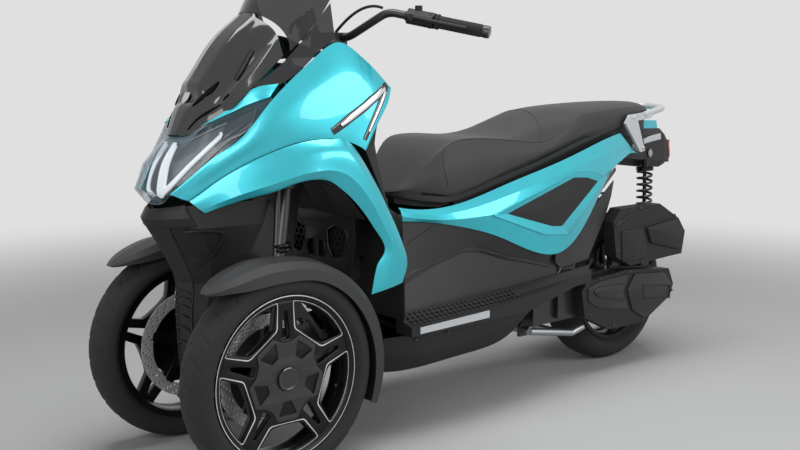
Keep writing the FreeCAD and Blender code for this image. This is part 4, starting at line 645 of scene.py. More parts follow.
def ring_at(centre: Vector, first: Vector, second: Vector, radius: float, count: int) -> list[Vector]:
    """Points on a circle.

    Args:
        centre: Its centre.
        first: Direction of its first point.
        second: Direction across it, square to the first.
        radius: Its radius.
        count: How many points.

    Returns:
        The points, in order round the circle.
    """
    return [centre + around(first, second, math.tau * number / count) * radius for number in range(count)]


def turned(profile: Sequence[Pair], foot: Vector, along: Vector, count: int = 32) -> Shape:
    """A shape turned round an axis.

    Args:
        profile: Pairs of height along the axis and radius.
        foot: Where the axis starts.
        along: The axis.
        count: Points round it.

    Returns:
        The shape, closed at both ends.
    """
    axis = along.normalized()
    first = axis.cross(Vector((0, 0, 1)) if abs(axis.z) < 0.9 else Vector((1, 0, 0))).normalized()
    second = axis.cross(first)
    rows = [
        ring_at(foot + axis * height, first, second, max(radius, TIP), count) for height, radius in profile
    ]
    return Shape().net(rows, closed=True, capped=True)


def rod(line: Sequence[Vector], radius: float, count: int = 10) -> Shape:
    """A round bar along a line, with its rings kept from twisting.

    Args:
        line: Places along it.
        radius: Its radius.
        count: Points round it.

    Returns:
        The bar, closed at both ends.
    """
    rows = []
    side = None
    for number, place in enumerate(line):
        ahead = line[min(number + 1, len(line) - 1)] - line[max(number - 1, 0)]
        along = ahead.normalized()
        if side is None:
            side = along.orthogonal().normalized()
        side = (side - along * side.dot(along)).normalized()
        rows.append(ring_at(place, side, along.cross(side), radius, count))
    return Shape().net(rows, closed=True, capped=True)


def plate(loops: Sequence[Sequence[Pair]], low: float, high: float, bevel: float) -> Shape:
    """A flat plate with openings and rounded edges.

    Args:
        loops: The outline and the openings, in the plate's own plane.
        low: Height of its lower face.
        high: Height of its upper face.
        bevel: Radius of its edges.

    Returns:
        The plate, lying in the XY plane.
    """
    data = bpy.data.curves.new("plate", "CURVE")
    data.dimensions = "2D"
    data.fill_mode = "BOTH"
    data.extrude = (high - low) / 2 - bevel
    data.bevel_depth = bevel
    data.bevel_resolution = 1
    data.offset = -bevel
    for loop in loops:
        spline = data.splines.new("POLY")
        spline.points.add(len(loop) - 1)
        for point, (across, up) in zip(spline.points, loop):
            point.co = (across, up, 0.0, 1.0)
        spline.use_cyclic_u = True
    holder = placed("plate", data)
    mesh = bpy.data.meshes.new_from_object(holder.evaluated_get(bpy.context.evaluated_depsgraph_get()))
    bpy.data.objects.remove(holder)
    bpy.data.curves.remove(data)
    middle = Vector((0, 0, (low + high) / 2))
    faces = [tuple(face.vertices) for face in mesh.polygons]
    shape = Shape([vertex.co + middle for vertex in mesh.vertices], faces)
    bpy.data.meshes.remove(mesh)
    return shape


def lathe(outline: Sequence[Pair], centre: Vector, side: float, count: int = 72) -> Shape:
    """A ring turned about a wheel's axis from a closed outline.

    Args:
        outline: Pairs of distance outboard and radius.
        centre: The wheel's centre.
        side: Sign of y that is outboard.
        count: Points round it.

    Returns:
        The ring.
    """
    rows = []
    for number in range(count + 1):
        angle = math.tau * (number % count) / count
        ahead, up = math.cos(angle), math.sin(angle)
        rows.append([centre + Vector((ahead * reach, out * side, up * reach)) for out, reach in outline])
    return Shape().net(rows, closed=True)


def rounded(corners: Sequence[Pair], radius: float, steps: int = 4) -> list[Pair]:
    """A closed outline with its corners rounded.

    Args:
        corners: The corners in order.
        radius: How far from a corner the rounding starts.
        steps: Points in one rounding.

    Returns:
        The outline's points.
    """
    made, longest = [], 0.45  # share of an edge that one rounding may take
    count = len(corners)
    for number in range(count):
        corner = Vector(corners[number])
        before, after = Vector(corners[number - 1]), Vector(corners[(number + 1) % count])
        start, end = (
            corner + (other - corner).normalized() * min(radius, (other - corner).length * longest)
            for other in (before, after)
        )
        for step in range(steps + 1):
            t = step / steps
            place = start * (1 - t) ** 2 + corner * (2 * t * (1 - t)) + end * t**2
            made.append((place.x, place.y))
    return made


def round_loop(radius: float, count: int, centre: Pair = (0.0, 0.0)) -> list[Pair]:
    """A circle as a closed outline.

    Args:
        radius: Its radius.
        count: Its points.
        centre: Its centre.

    Returns:
        The outline's points.
    """
    angles = [math.tau * number / count for number in range(count)]
    return [(centre[0] + math.cos(angle) * radius, centre[1] + math.sin(angle) * radius) for angle in angles]


def polar(radius: float, degrees: float) -> Pair:
    """A place in a wheel's plane, from its radius and its angle from straight ahead."""
    turn = math.radians(degrees)
    return (math.cos(turn) * radius, math.sin(turn) * radius)


def spline_at(corners: Sequence[Vector], share: float) -> Vector:
    """A place on the smooth line through corners.

    Args:
        corners: The places that the line passes through.
        share: Way along the line, 0 to 1.

    Returns:
        The place.
    """
    last = len(corners) - 1
    span = min(int(max(share, 0.0) * last), last - 1)
    t = max(0.0, min(1.0, share * last - span))
    start, end = corners[span], corners[span + 1]
    before = corners[span - 1] if span else start * 2 - end
    after = corners[span + 2] if span + 2 <= last else end * 2 - start
    return curve_at(before, start, end, after, t)


EDGE_ROUND = 0.3  # share of a panel's wall that its edge stands back
RIBBON_ROUND = ((1.0, 0.55), (0.86, 0.92), (0.6, 1.0))  # a ribbon's edge, as shares of half width and lift


def rims(outer: list[list[Vector]], inner: list[list[Vector]]) -> Shape:
    """The narrow faces round a panel, between the nets of its outer and its inner face.

    Args:
        outer: Net of its outer face.
        inner: Net of its inner face.

    Returns:
        The faces.
    """
    shape = Shape()
    for end in (0, -1):
        shape.net([outer[end], inner[end]])
        shape.net([[row[end] for row in outer], [row[end] for row in inner]])
    return shape


@dataclass
class Surface:
    """A smooth surface through rows of places.

    Attributes:
        rows: Rows of places, equally long.
        inside: A place on its inner side.
        creases: Numbers of the rows where it bends sharply.
    """

    rows: list[list[Vector]]
    inside: Vector
    creases: tuple[int, ...] = ()

    def at(self, along: float, across: float) -> Vector:
        """A place on the surface.

        Args:
            along: Way along the rows, 0 to 1.
            across: Way from the first row to the last, 0 to 1.

        Returns:
            The place.
        """
        marks = [0, *self.creases, len(self.rows) - 1]
        spot = max(0.0, min(1.0, across)) * (len(self.rows) - 1)
        for low, high in zip(marks, marks[1:]):
            if spot <= high:
                column = [spline_at(row, along) for row in self.rows[low : high + 1]]
                return spline_at(column, (spot - low) / (high - low))
        return spline_at(self.rows[-1], along)

    def normal(self, along: float, across: float) -> Vector:
        """Outward direction at a place on the surface.

        Args:
            along: Way along the rows, 0 to 1.
            across: Way from the first row to the last, 0 to 1.

        Returns:
            The direction, of length 1.
        """
        step = 0.004
        a, b = min(max(along, step), 1 - step), min(max(across, step), 1 - step)
        forward, sideways = self.at(
            a + step, b
        ) - self.at(a - step, b), self.at(a, b + step) - self.at(a, b - step)
        made = forward.cross(sideways).normalized()
        return made if made.dot(self.at(a, b) - self.inside) > 0 else -made

    def shell(self, along: int, across: int, wall: float) -> Shape:
        """A thin panel with rounded edges.

        Args:
            along: Steps along the rows.
            across: Steps from the first row to the last.
            wall: Thickness inwards.

        Returns:
            The closed panel.
        """
        outer, inner = [], []
        for b in range(across + 1):
            places_out, places_in = [], []
            for a in range(along + 1):
                place, out = self.at(a / along, b / across), self.normal(a / along, b / across)
                edge = a in (0, along) or b in (0, across)
                places_out.append(place - out * (wall * EDGE_ROUND if edge else 0.0))
                places_in.append(place - out * wall)
            outer.append(places_out)
            inner.append(places_in)
        return Shape().net(outer).net([row[::-1] for row in inner]).add(rims(outer, inner))

    def find(self, x: float, z: float) -> Pair:
        """Where the surface lies at a place seen from the side.

        Args:
            x: Place forward.
            z: Place upward.

        Returns:
            Ways along and across.
        """
        best, reach, rounds, half, closer = (0.5, 0.5), 0.5, 6, 5, 0.4
        steps = range(-half, half + 1)
        for _ in range(rounds):
            spots = [(best[0] + a * reach / half, best[1] + b * reach / half) for a in steps for b in steps]
            spots = [spot for spot in spots if 0 <= spot[0] <= 1 and 0 <= spot[1] <= 1]
            best = min(spots, key=lambda spot: (self.at(*spot).x - x) ** 2 + (self.at(*spot).z - z) ** 2)
            reach *= closer
        return best

    def trace(self, corners: Sequence[Pair], *band: Any) -> Shape:
        """A ribbon through places seen from the side.

        Args:
            corners: Pairs of place forward and upward.
            band: What ribbon takes after its line.

        Returns:
            The band, closed.
        """
        return self.ribbon([self.find(x, z) for x, z in corners], *band)

    def ribbon(
        self,
        line: Sequence[Pair],
        half: float | Sequence[float],
        lift: float,
        depth: float = 0.001,
        steps: int = 6,
    ) -> Shape:
        """A band that follows the surface.

        Args:
            line: Its middle, as ways along and across.
            half: Half its width, the same all along or one for each point of the line.
            lift: Height over the surface.
            depth: How far it reaches into the surface.
            steps: Points between two of the line's.

        Returns:
            The band, closed.
        """
        halves = [half] * len(line) if isinstance(half, float) else list(half)
        fine = smooth_line([Vector((a, b, w)) for (a, b), w in zip(line, halves)], steps)
        spots = [self.at(place.x, place.y) for place in fine]
        rows = []
        for number, place in enumerate(fine):
            out = self.normal(place.x, place.y)
            ahead = (spots[min(number + 1, len(spots) - 1)] - spots[max(number - 1, 0)]).normalized()
            aside = out.cross(ahead).normalized()
            right = [(place.z, -depth), *((place.z * wide, lift * high) for wide, high in RIBBON_ROUND)]
            section = [(-across, up) for across, up in right] + right[::-1]
            rows.append([spots[number] + aside * across + out * up for across, up in section])
        return Shape().net(rows, closed=True, capped=True)


def skin(inside: Point, *rows: Sequence[Point], creases: tuple[int, ...] = ()) -> Surface:
    """A surface through rows of places.

    Args:
        inside: A place on its inner side, in millimetres.
        rows: The rows, in millimetres.
        creases: Numbers of the rows where it bends sharply.

    Returns:
        The surface, in metres.
    """

    def metres(place: Point) -> Vector:
        """A place in metres."""
        return Vector([value / MILLIMETRES for value in place])

    return Surface([[metres(place) for place in row] for row in rows], metres(inside), creases)


def both(shape: Shape) -> Shape:
    """A left-hand shape with its right-hand twin."""
    return Shape().add(shape).add(shape.other_side())


class SubAssembly:
    """What every sub-assembly of the scooter can do."""

    def piece(
        self,
        name: str,
        shape: Shape | bpy.types.Mesh,
        finish: Finish,
        body: str = "chassis",
        stands_for: Sequence[str] = (),
        smooth: float = SMOOTH_DEGREES,
    ) -> bpy.types.Object:
        """Makes one piece, dresses it and lets it ride on its body.

        Args:
            name: The piece's name.
            shape: Its points and faces, or a ready mesh.
            finish: Its finish.
            body: The CAD body that it moves with.
            stands_for: CAD nodes that it replaces.
            smooth: Edges that bend by fewer degrees are shaded smooth.

        Returns:
            The new object.
        """
        if isinstance(shape, Shape):
            mesh = bpy.data.meshes.new(name)
            mesh.from_pydata([tuple(place) for place in shape.points], [], shape.faces)
        else:
            mesh = shape
            mesh.name = name
        built = bmesh.new()
        built.from_mesh(mesh)
        bmesh.ops.remove_doubles(built, verts=built.verts, dist=WELD)
        bmesh.ops.recalc_face_normals(built, faces=built.faces)
        for edge in built.edges:
            edge.smooth = len(edge.link_faces) != 2 or edge.calc_face_angle(0) < math.radians(smooth)
        for face in built.faces:
            face.smooth = True
        built.to_mesh(mesh)
        built.free()
        mesh.materials.clear()
        mesh.materials.append(finish.material())
        made = placed(name, mesh)
        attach(made, body)
        if stands_for:
            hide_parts(*stands_for)
        LOG.info("piece %s on %s in %s", name, body, finish.name)
        return made

    def twins(self, name: str, left: Shape, finish: Finish, **options: Any) -> bpy.types.Object:
        """Makes one piece of a left-hand shape and its right-hand twin.

        Args:
            name: The piece's name.
            left: The left-hand shape.
            finish: Its finish.
            options: What else piece takes.

        Returns:
            The new object.
        """
        return self.piece(name, both(left), finish, **options)


@dataclass
class Tyre(SubAssembly):
    """A road tyre with tread grooves.

    Attributes:
        name: The CAD node that it stands for.
        body: The wheel's CAD body.
        centre: Wheel centre.
        radius: Over the crown.
        width: Over the sides.
        bead: Radius where it sits on the rim.
        foot: Half its width inside the flanges.
        flange: Height of the rim's flange over the bead.
        groove_depth: Depth of the tread grooves.
        pitches: Repeats of the tread round the tyre.
        steps: Points round one repeat.
        section_shares: Half the section, as shares of its half width and of the wall's height.
        ground: Where the grooves start and end, as shares of the half width.
        deep: Where they have their full depth.
        shallow: Depth outside of that, as a share.
        sweep: How far a groove leans, as a share of the tread's repeat.
        groove_half: Half a groove's width, as a share of the repeat.
    """

    name: str
    body: str
    centre: Point
    radius: float
    width: float
    bead: float
    foot: float
    flange: float = 0.0086
    groove_depth: float = 0.0035
    pitches: int = 26
    steps: int = 14
    section_shares: tuple[Pair, ...] = ((0.96, 0.22), (1.0, 0.44), (0.86, 0.74), (0.50, 0.95), (0.0, 1.0))
    ground: Pair = (0.05, 0.86)
    deep: Pair = (0.10, 0.82)
    shallow: float = 0.3
    sweep: float = 0.55
    groove_half: float = 0.09

    def build(self) -> None:
        """Makes the tyre and stands it for its CAD node."""
        side, lip = self.width / 2, self.bead + self.flange
        wall = self.radius - lip
        half = [Vector((self.foot, lip, 0))]
        half += [Vector((side * across, lip + wall * up, 0)) for across, up in self.section_shares]
        arc = smooth_line(half, 7)
        left = [Vector((self.foot, self.bead, 0)), *arc]
        outline = left + [Vector((-place.x, place.y, 0)) for place in reversed(left[:-1])]
        count = self.pitches * self.steps
        rows = []
        for number in range(count):
            angle = math.tau * number / count
            share = number % self.steps / self.steps
            row = []
            for place in outline:
                depth = self.groove_depth * self._groove(place.x / side, share)
                reach = place.y - depth
                row.append(
                    Vector(self.centre) + Vector((math.cos(angle) * reach, place.x, math.sin(angle) * reach))
                )
            rows.append(row)
        rows.append(rows[0])
        self.piece(
            self.name + "_treaded", Shape().net(rows, closed=True), Finishes.TYRE, self.body, [self.name],
            smooth=40
        )

    def _groove(self, across: float, share: float) -> float:
        """Depth of the tread at one place, as a share.

        Args:
            across: From -1 at one side wall to 1 at the other.
            share: Way through the tread's repeat.

        Returns:
            1 in a groove and 0 on a block.
        """
        away = abs(across)
        if not self.ground[0] <= away <= self.ground[1]:
            return 0.0
        slant = (share + away * self.sweep + (0.5 if across < 0 else 0.0)) % 1.0
        reach = 1.0 if self.deep[0] < away < self.deep[1] else self.shallow
        return reach * max(0.0, 1 - abs(slant - 0.5) / self.groove_half)


@dataclass
class Wheel(SubAssembly):
    """A cast wheel: barrel, double spokes, hub plate, cap, white lines and brake disc.

    Attributes:
        rim: The CAD node that it stands for.
        disc: The brake disc's CAD node, or nothing.
        body: The wheel's CAD body.
        centre: Wheel centre.
        side: Sign of y that is outboard.
        seat: Radius of the bead seat.
        half_width: Centre plane to the flange's outer face.
        window_outer: Outer radius of the big windows.
        window_inner: Radius of their inner corners.
        striped: True where white lines run round the windows.
        spokes: Number of double spokes.
        face: Centre plane to the spokes' outer face.
        spoke_depth: Thickness of the spokes.
        hub: Radius of the hub.
        lip: Height of the flange over the bead seat.
        wall: Thickness of the barrel.
        window_half: Half a window's angle in degrees, at its outer and its inner edge.
        stripe: How far outside a window its white line starts and ends.
        disc_faces: Centre plane to the disc's two faces.
        disc_radii: Outer and inner radius of the disc.
        hole_rows: Number of slanting rows of holes.
        hole_radius: Radius of a hole.
        hole_reaches: Radii at which the holes of a row lie.
        hole_slant: How far each next hole of a row is turned, as a share of the way to the next row.
        carrier_faces: Centre plane to the two faces of the disc's carrier.
    """

    rim: str
    disc: str
    body: str
    centre: Point
    side: float
    seat: float = 0.203
    half_width: float = 0.042
    window_outer: float = 0.1905
    window_inner: float = 0.131
    striped: bool = True
    spokes: int = 5
    face: float = 0.034
    spoke_depth: float = 0.023
    hub: float = 0.042
    lip: float = 0.008
    wall: float = 0.010
    window_half: Pair = (27.5, 20.0)
    stripe: Pair = (0.0048, 0.0068)
    disc_faces: Pair = (-0.0484, -0.0441)
    disc_radii: Pair = (0.150, 0.116)
    hole_rows: int = 28
    hole_radius: float = 0.0030
    hole_reaches: tuple[float, ...] = (0.1225, 0.1298, 0.1371, 0.1444)
    hole_slant: float = 0.28
    carrier_faces: Pair = (-0.0505, -0.0420)

    def build(self) -> None:
        """Makes the wheel's pieces."""
        label, w, s = self.body, self.half_width, self.seat
        self.piece(f"{label}_rim", self._rim(), Finishes.RIM, label, [self.rim], smooth=38)
        self.piece(f"{label}_hub_plate", self._hub_plate(), Finishes.MATTE_GREY, label)
        self.piece(f"{label}_cap", self._cap(), Finishes.GLOSS_BLACK, label)
        line = (
            (w + 0.0002, s + 0.0052), (w + 0.0006, s + 0.0064), (w + 0.0002, s + 0.0076),
            (w - 0.001, s + 0.0064)
        )
        edge = lathe(line, Vector(self.centre), self.side, 96)
        self.piece(f"{label}_edge_line", edge, Finishes.SILVER, label)
        if self.striped:
            self.piece(f"{label}_stripes", self._stripes(), Finishes.STRIPE, label)
        if self.disc:
            self.piece(f"{label}_disc", self._disc(), Finishes.STEEL, label, [self.disc])
            self.piece(f"{label}_disc_carrier", self._carrier(), Finishes.RIM, label)

    def _stand(self, place: Vector) -> Vector:
        """Takes a place from the wheel's own plane to the vehicle."""
        return Vector(self.centre) + Vector((place.x, place.z * self.side, place.y))

    def _angles(self, shift: float = 0.0) -> list[float]:
        """Each spoke's angle in degrees, shifted by a share of the way to the next spoke."""
        return [90 + 360 / self.spokes * (number + shift) for number in range(self.spokes)]

    def _window(self, grow: float = 0.0) -> list[Pair]:
        """One window's outline, about straight ahead.

        Args:
            grow: How far outside the window's edge it runs.

        Returns:
            The outline's points.
        """
        outer, inner = self.window_outer + grow, self.window_inner - grow * 0.8
        wide = self.window_half[0] + math.degrees(grow / outer)
        narrow = self.window_half[1] + math.degrees(grow / inner) * 1.5
        corners = [polar(outer, wide * share) for share in (-1, -0.72, -0.44, -0.16, 0.16, 0.44, 0.72, 1)]
        dent = inner * 0.925
        corners += [
            polar(inner, narrow), polar(dent, narrow * 0.42), polar(dent, -narrow * 0.42),
            polar(inner, -narrow)
        ]
        return rounded(corners, 0.006 + grow * 0.4, 3)

    def _turned(self, loop: Sequence[Pair], degrees: float) -> list[Pair]:
        """An outline turned about the wheel's centre."""
        turn = Matrix.Rotation(math.radians(degrees), 2)
        return [tuple(turn @ Vector(place)) for place in loop]

    def _rim(self) -> Shape:
        """Barrel with flanges, spokes, hub tube and the valve.

        Returns:
            The rim.
        """
        w, s, lip, wall, hub = self.half_width, self.seat, self.lip, self.wall, self.hub
        centre = Vector(self.centre)
        inboard = (
            (-w, s - wall * 0.6), (-w, s + lip), (-w + 0.0025, s + lip + 0.0006),
            (-w + 0.005, s + lip - 0.002), (-w + 0.006, s)
        )
        outboard = (
            (w - 0.006, s), (w - 0.005, s + lip - 0.002), (w - 0.0025, s + lip + 0.0006), (w, s + lip),
            (w + 0.0002, s + 0.004), (w - 0.002, s - 0.001)
        )
        well = ((-w * 0.3, s - 0.004), (w * 0.3, s - 0.004))
        inside = (
            (w - 0.006, s - wall + 0.004), (w * 0.55, s - wall - 0.0015), (-w * 0.5, s - wall - 0.0015),
            (-w + 0.008, s - wall)
        )
        barrel = lathe((*inboard, *well, *outboard, *inside), centre, self.side, 96)
        loops = [round_loop(s - wall + 0.004, 96), round_loop(0.0155, 24)]
        low, high = self.window_inner * 0.76, self.window_outer * 0.90
        slot = rounded(
            ((low, -low * 0.13), (high, -high * 0.026), (high, high * 0.026), (low, low * 0.13)), 0.006, 3
        )
        for at_window, at_spoke in zip(self._angles(0.5), self._angles()):
            loops += [self._turned(self._window(), at_window), self._turned(slot, at_spoke)]
        spider = plate(loops, self.face - self.spoke_depth, self.face, 0.0028).moved(self._stand)
        section = ((-0.042, hub * 0.8), (-0.040, hub * 0.84), (0.010, hub * 0.92), (0.020, hub))
        tube = turned(section, centre, Vector((0, self.side, 0)), 32)
        at_valve = self._angles(0.5)[1]
        foot = self._stand(Vector((*polar(s - wall, at_valve), 0.012)))
        top = self._stand(Vector((*polar(s - wall - 0.03, at_valve), 0.026)))
        stem = ((0, 0.0042), (0.012, 0.0042), (0.0125, 0.0055), (0.030, 0.0055), (0.031, 0.0035))
        return barrel.add(spider).add(tube).add(turned(stem, foot, top - foot, 12))

    def _hub_plate(self) -> Shape:
        """Star-shaped plate round the hub with a pocket for each bolt.

        Returns:
            The plate.
        """
        reach = self.window_inner * 0.76
        outline = []
        for at_spoke, at_window in zip(self._angles(), self._angles(0.5)):
            outline += [polar(reach * 0.93, at_spoke + turn) for turn in (-8, 8)]
            outline += [polar(reach * 1.13, at_window + turn) for turn in (-15, 15)]
        corners = ((0.60, -11), (1.0, -17), (1.0, 17), (0.60, 11))
        pocket = rounded([polar(reach * share, turn) for share, turn in corners], 0.005, 3)
        loops = [rounded(outline, 0.004, 2), round_loop(self.hub * 0.55, 32)]
        loops += [self._turned(pocket, turn) for turn in self._angles(0.5)]
        return plate(loops, self.face - 0.001, self.face + 0.0035, 0.0012).moved(self._stand)

    def _cap(self) -> Shape:
        """Round cap on the hub, its middle left plain.

        Returns:
            The cap.
        """
        steps = (
            (0.006, 1), (0.0095, 0.94), (0.0105, 0.86), (0.0098, 0.82), (0.0092, 0.78), (0.0098, 0.55),
            (0.0102, 0.2)
        )
        reach = self.hub * 0.74
        section = [
            (0, reach), *((self.face + rise, reach * share) for rise, share in steps),
            (self.face + 0.0103, 0.0005)
        ]
        return turned(section, Vector(self.centre), Vector((0, self.side, 0)), 48)

    def _stripes(self) -> Shape:
        """White lines round the windows.

        Returns:
            The lines, a little proud of the spokes.
        """
        shape = Shape()
        height = self.face + 0.0003
        for turn in self._angles(0.5):
            inner, outer = (
                [Vector((*place, height)) for place in self._turned(self._window(grow), turn)]
                for grow in self.stripe
            )
            under = [Vector((place.x, place.y, height - 0.0008)) for place in outer]
            shape.add(Shape().net([inner, outer, under], closed=True).moved(self._stand))
        return shape

    def _disc(self) -> Shape:
        """Rubbed ring of the brake disc, drilled in slanting rows.

        Returns:
            The ring.
        """
        loops = [round_loop(radius, count) for radius, count in zip(self.disc_radii, (96, 72))]
        for row in range(self.hole_rows):
            for number, reach in enumerate(self.hole_reaches):
                turn = 360 / self.hole_rows * (row + number * self.hole_slant)
                loops.append(round_loop(self.hole_radius, 8, polar(reach, turn)))
        return plate(loops, *self.disc_faces, 0.0003).moved(self._stand)

    def _carrier(self) -> Shape:
        """Arms that carry the rubbed ring from the hub.

        Returns:
            The arms, in one plate.
        """
        arm = ((0.044, -26), (0.115, -7), (0.1215, -5), (0.1215, 5), (0.115, 7), (0.044, 26))
        outline = [polar(reach, turn + off) for turn in self._angles(-1) for reach, off in arm]
        return plate(
            [rounded(outline, 0.006, 3), round_loop(0.030, 40)], *self.carrier_faces, 0.001
        ).moved(self._stand)


FAIRING = skin(
    (600, 0, 750),
    (
        (980, 76, 728), (901, 138, 812), (830, 173, 868), (748, 194, 962), (655, 202, 1040), (560, 207, 1098),
        (479, 220, 1053), (402, 233, 980)
    ),
    (
        (968, 86, 722), (890, 148, 796), (818, 188, 852), (738, 212, 922), (645, 226, 980), (556, 234, 1015),
        (486, 241, 990), (425, 246, 940)
    ),
    (
        (957, 96, 716), (880, 152, 784), (804, 192, 836), (720, 221, 882), (632, 238, 912), (556, 247, 925),
        (500, 251, 907), (468, 254, 885)
    ),
    (
        (945, 105, 712), (871, 157, 774), (790, 198, 820), (700, 226, 850), (620, 244, 857), (560, 252, 846),
        (525, 257, 832), (510, 259, 822)
    )
)
WING = skin(
    (600, 0, 750),
    (
        (944, 105.5, 711), (870, 158, 773), (789, 199, 819), (699.5, 228, 849), (619.5, 245.5, 856),
        (555, 255, 842), (487, 268, 741), (442, 271, 662), (401, 272, 581), (377, 270, 515), (393, 269, 461)
    ),
    (
        (935, 116, 701), (861, 170, 752), (781, 214, 793), (695, 247.5, 820), (619, 266.8, 827),
        (560, 275.8, 807), (499, 279, 723), (456, 279, 650), (419, 277, 575), (405, 274, 507), (420, 272, 456)
    ),
    (
        (924, 124.5, 689), (851, 183, 725), (773, 228, 752), (693, 257, 775), (622, 272, 778),
        (569, 280, 754), (519, 283, 700), (476, 281, 636), (438, 278, 568), (446, 275, 508), (464, 273, 449)
    ),
    (
        (914, 130, 682), (842, 177, 710), (768, 216, 730), (700, 240, 752), (634, 252, 753), (587, 261, 724),
        (540, 266, 680), (496, 268, 625), (455, 269, 562), (482, 269, 515), (500, 268, 443)
    ),
    creases=(2,)
)


@dataclass
class FrontPanels(SubAssembly):
    """Painted front: fairings with V-shaped lamps, arch panels and the brows over the headlamp.

    Attributes:
        wall: Panel thickness.
        bar: Half width of the chrome bars.
        lamp_top: Where the two bars of a side lamp meet, forward and upward.
        lamp_long: Far end of the long bar.
        lamp_short: Far end of the short bar.
    """

    wall: float = 0.003
    bar: float = 0.0062
    lamp_top: Pair = (0.423, 0.984)
    lamp_long: Pair = (0.608, 0.874)
    lamp_short: Pair = (0.512, 0.850)

    def build(self) -> None:
        """Makes the panels and lamps of both sides."""
        self.twins(
            "front_fairings", FAIRING.shell(56, 18, self.wall), Finishes.PAINT, stands_for=["front_fairing"],
            smooth=24
        )
        self.twins(
            "arch_panels_shaped", WING.shell(64, 18, self.wall), Finishes.PAINT, stands_for=["arch_panels"],
            smooth=15
        )
        brow = skin(
            (600, 0, 800), ((897, 89.5, 893.5), (838, 124.5, 922.5), (787, 153.5, 948.5), (756, 185, 963.5)),
            ((886, 89, 898), (826, 122, 940), (777, 147, 984), (725, 180, 996))
        )
        self.twins("lamp_brows", brow.shell(24, 6, 0.002), Finishes.PAINT)
        self._lamps()

    def _lamps(self) -> None:
        """Makes the chrome bars in their black surrounds."""

        def run(start: Pair, end: Pair, first: float, last: float) -> list[Pair]:
            """Spots on the fairing along the straight way between two places.

            Args:
                start: The first place, forward and upward.
                end: The second.
                first: Share of the way where the spots start.
                last: Share where they end.

            Returns:
                Ways along and across the fairing.
            """
            shares = [first + (last - first) * number / 5 for number in range(6)]
            return [
                FAIRING.find(start[0] + (end[0] - start[0]) * t, start[1] + (end[1] - start[1]) * t)
                for t in shares
            ]

        top, low, short = self.lamp_top, self.lamp_long, self.lamp_short

        def bar(end: Pair, first: float, last: float, widths: Sequence[float], lift: float) -> Shape:
            """A bar from the lamp's top towards an end, its widths as shares of the bar's."""
            return FAIRING.ribbon(run(top, end, first, last), [self.bar * share for share in widths], lift)

        surround = bar(low, -0.02, 1.0, (1.5, 1.8, 1.9, 1.9, 1.8, 1.5), 0.0030)
        surround.add(bar(short, -0.02, 1.0, (1.4, 1.35, 1.3, 1.2, 1.1, 0.9), 0.0030))
        self.twins("side_lamp_surrounds", surround, Finishes.GLOSS_BLACK, stands_for=["side_lamps"])
        bars = bar(low, 0.05, 0.86, (0.85, 1.1, 1.15, 1.15, 1.05, 0.7), 0.0052)
        bars.add(bar(short, 0.10, 0.86, (0.66, 0.62, 0.6, 0.56, 0.5, 0.36), 0.0052))
        self.twins("side_lamp_bars", bars, Finishes.CHROME)


COWL = skin(
    (700, 0, 900), ((931.5, 0, 866.8), (927, 22, 867.5), (916.5, 47, 869.5), (902.5, 72.5, 876)),
    ((905, 0, 928), (900, 34, 924), (888, 68, 910), (873, 92, 897)),
    ((877, 0, 978), (869, 46, 970), (853, 87, 943), (840, 113, 922)),
    ((840, 0, 1032), (828, 52, 1022), (811, 102, 985), (818, 133, 946)),
    ((790, 0, 1096), (776, 56, 1086), (757, 108, 1040), (772, 143, 990)),
    ((712, 0, 1168), (700, 55, 1158), (680, 102, 1125), (684, 143, 1063))
)


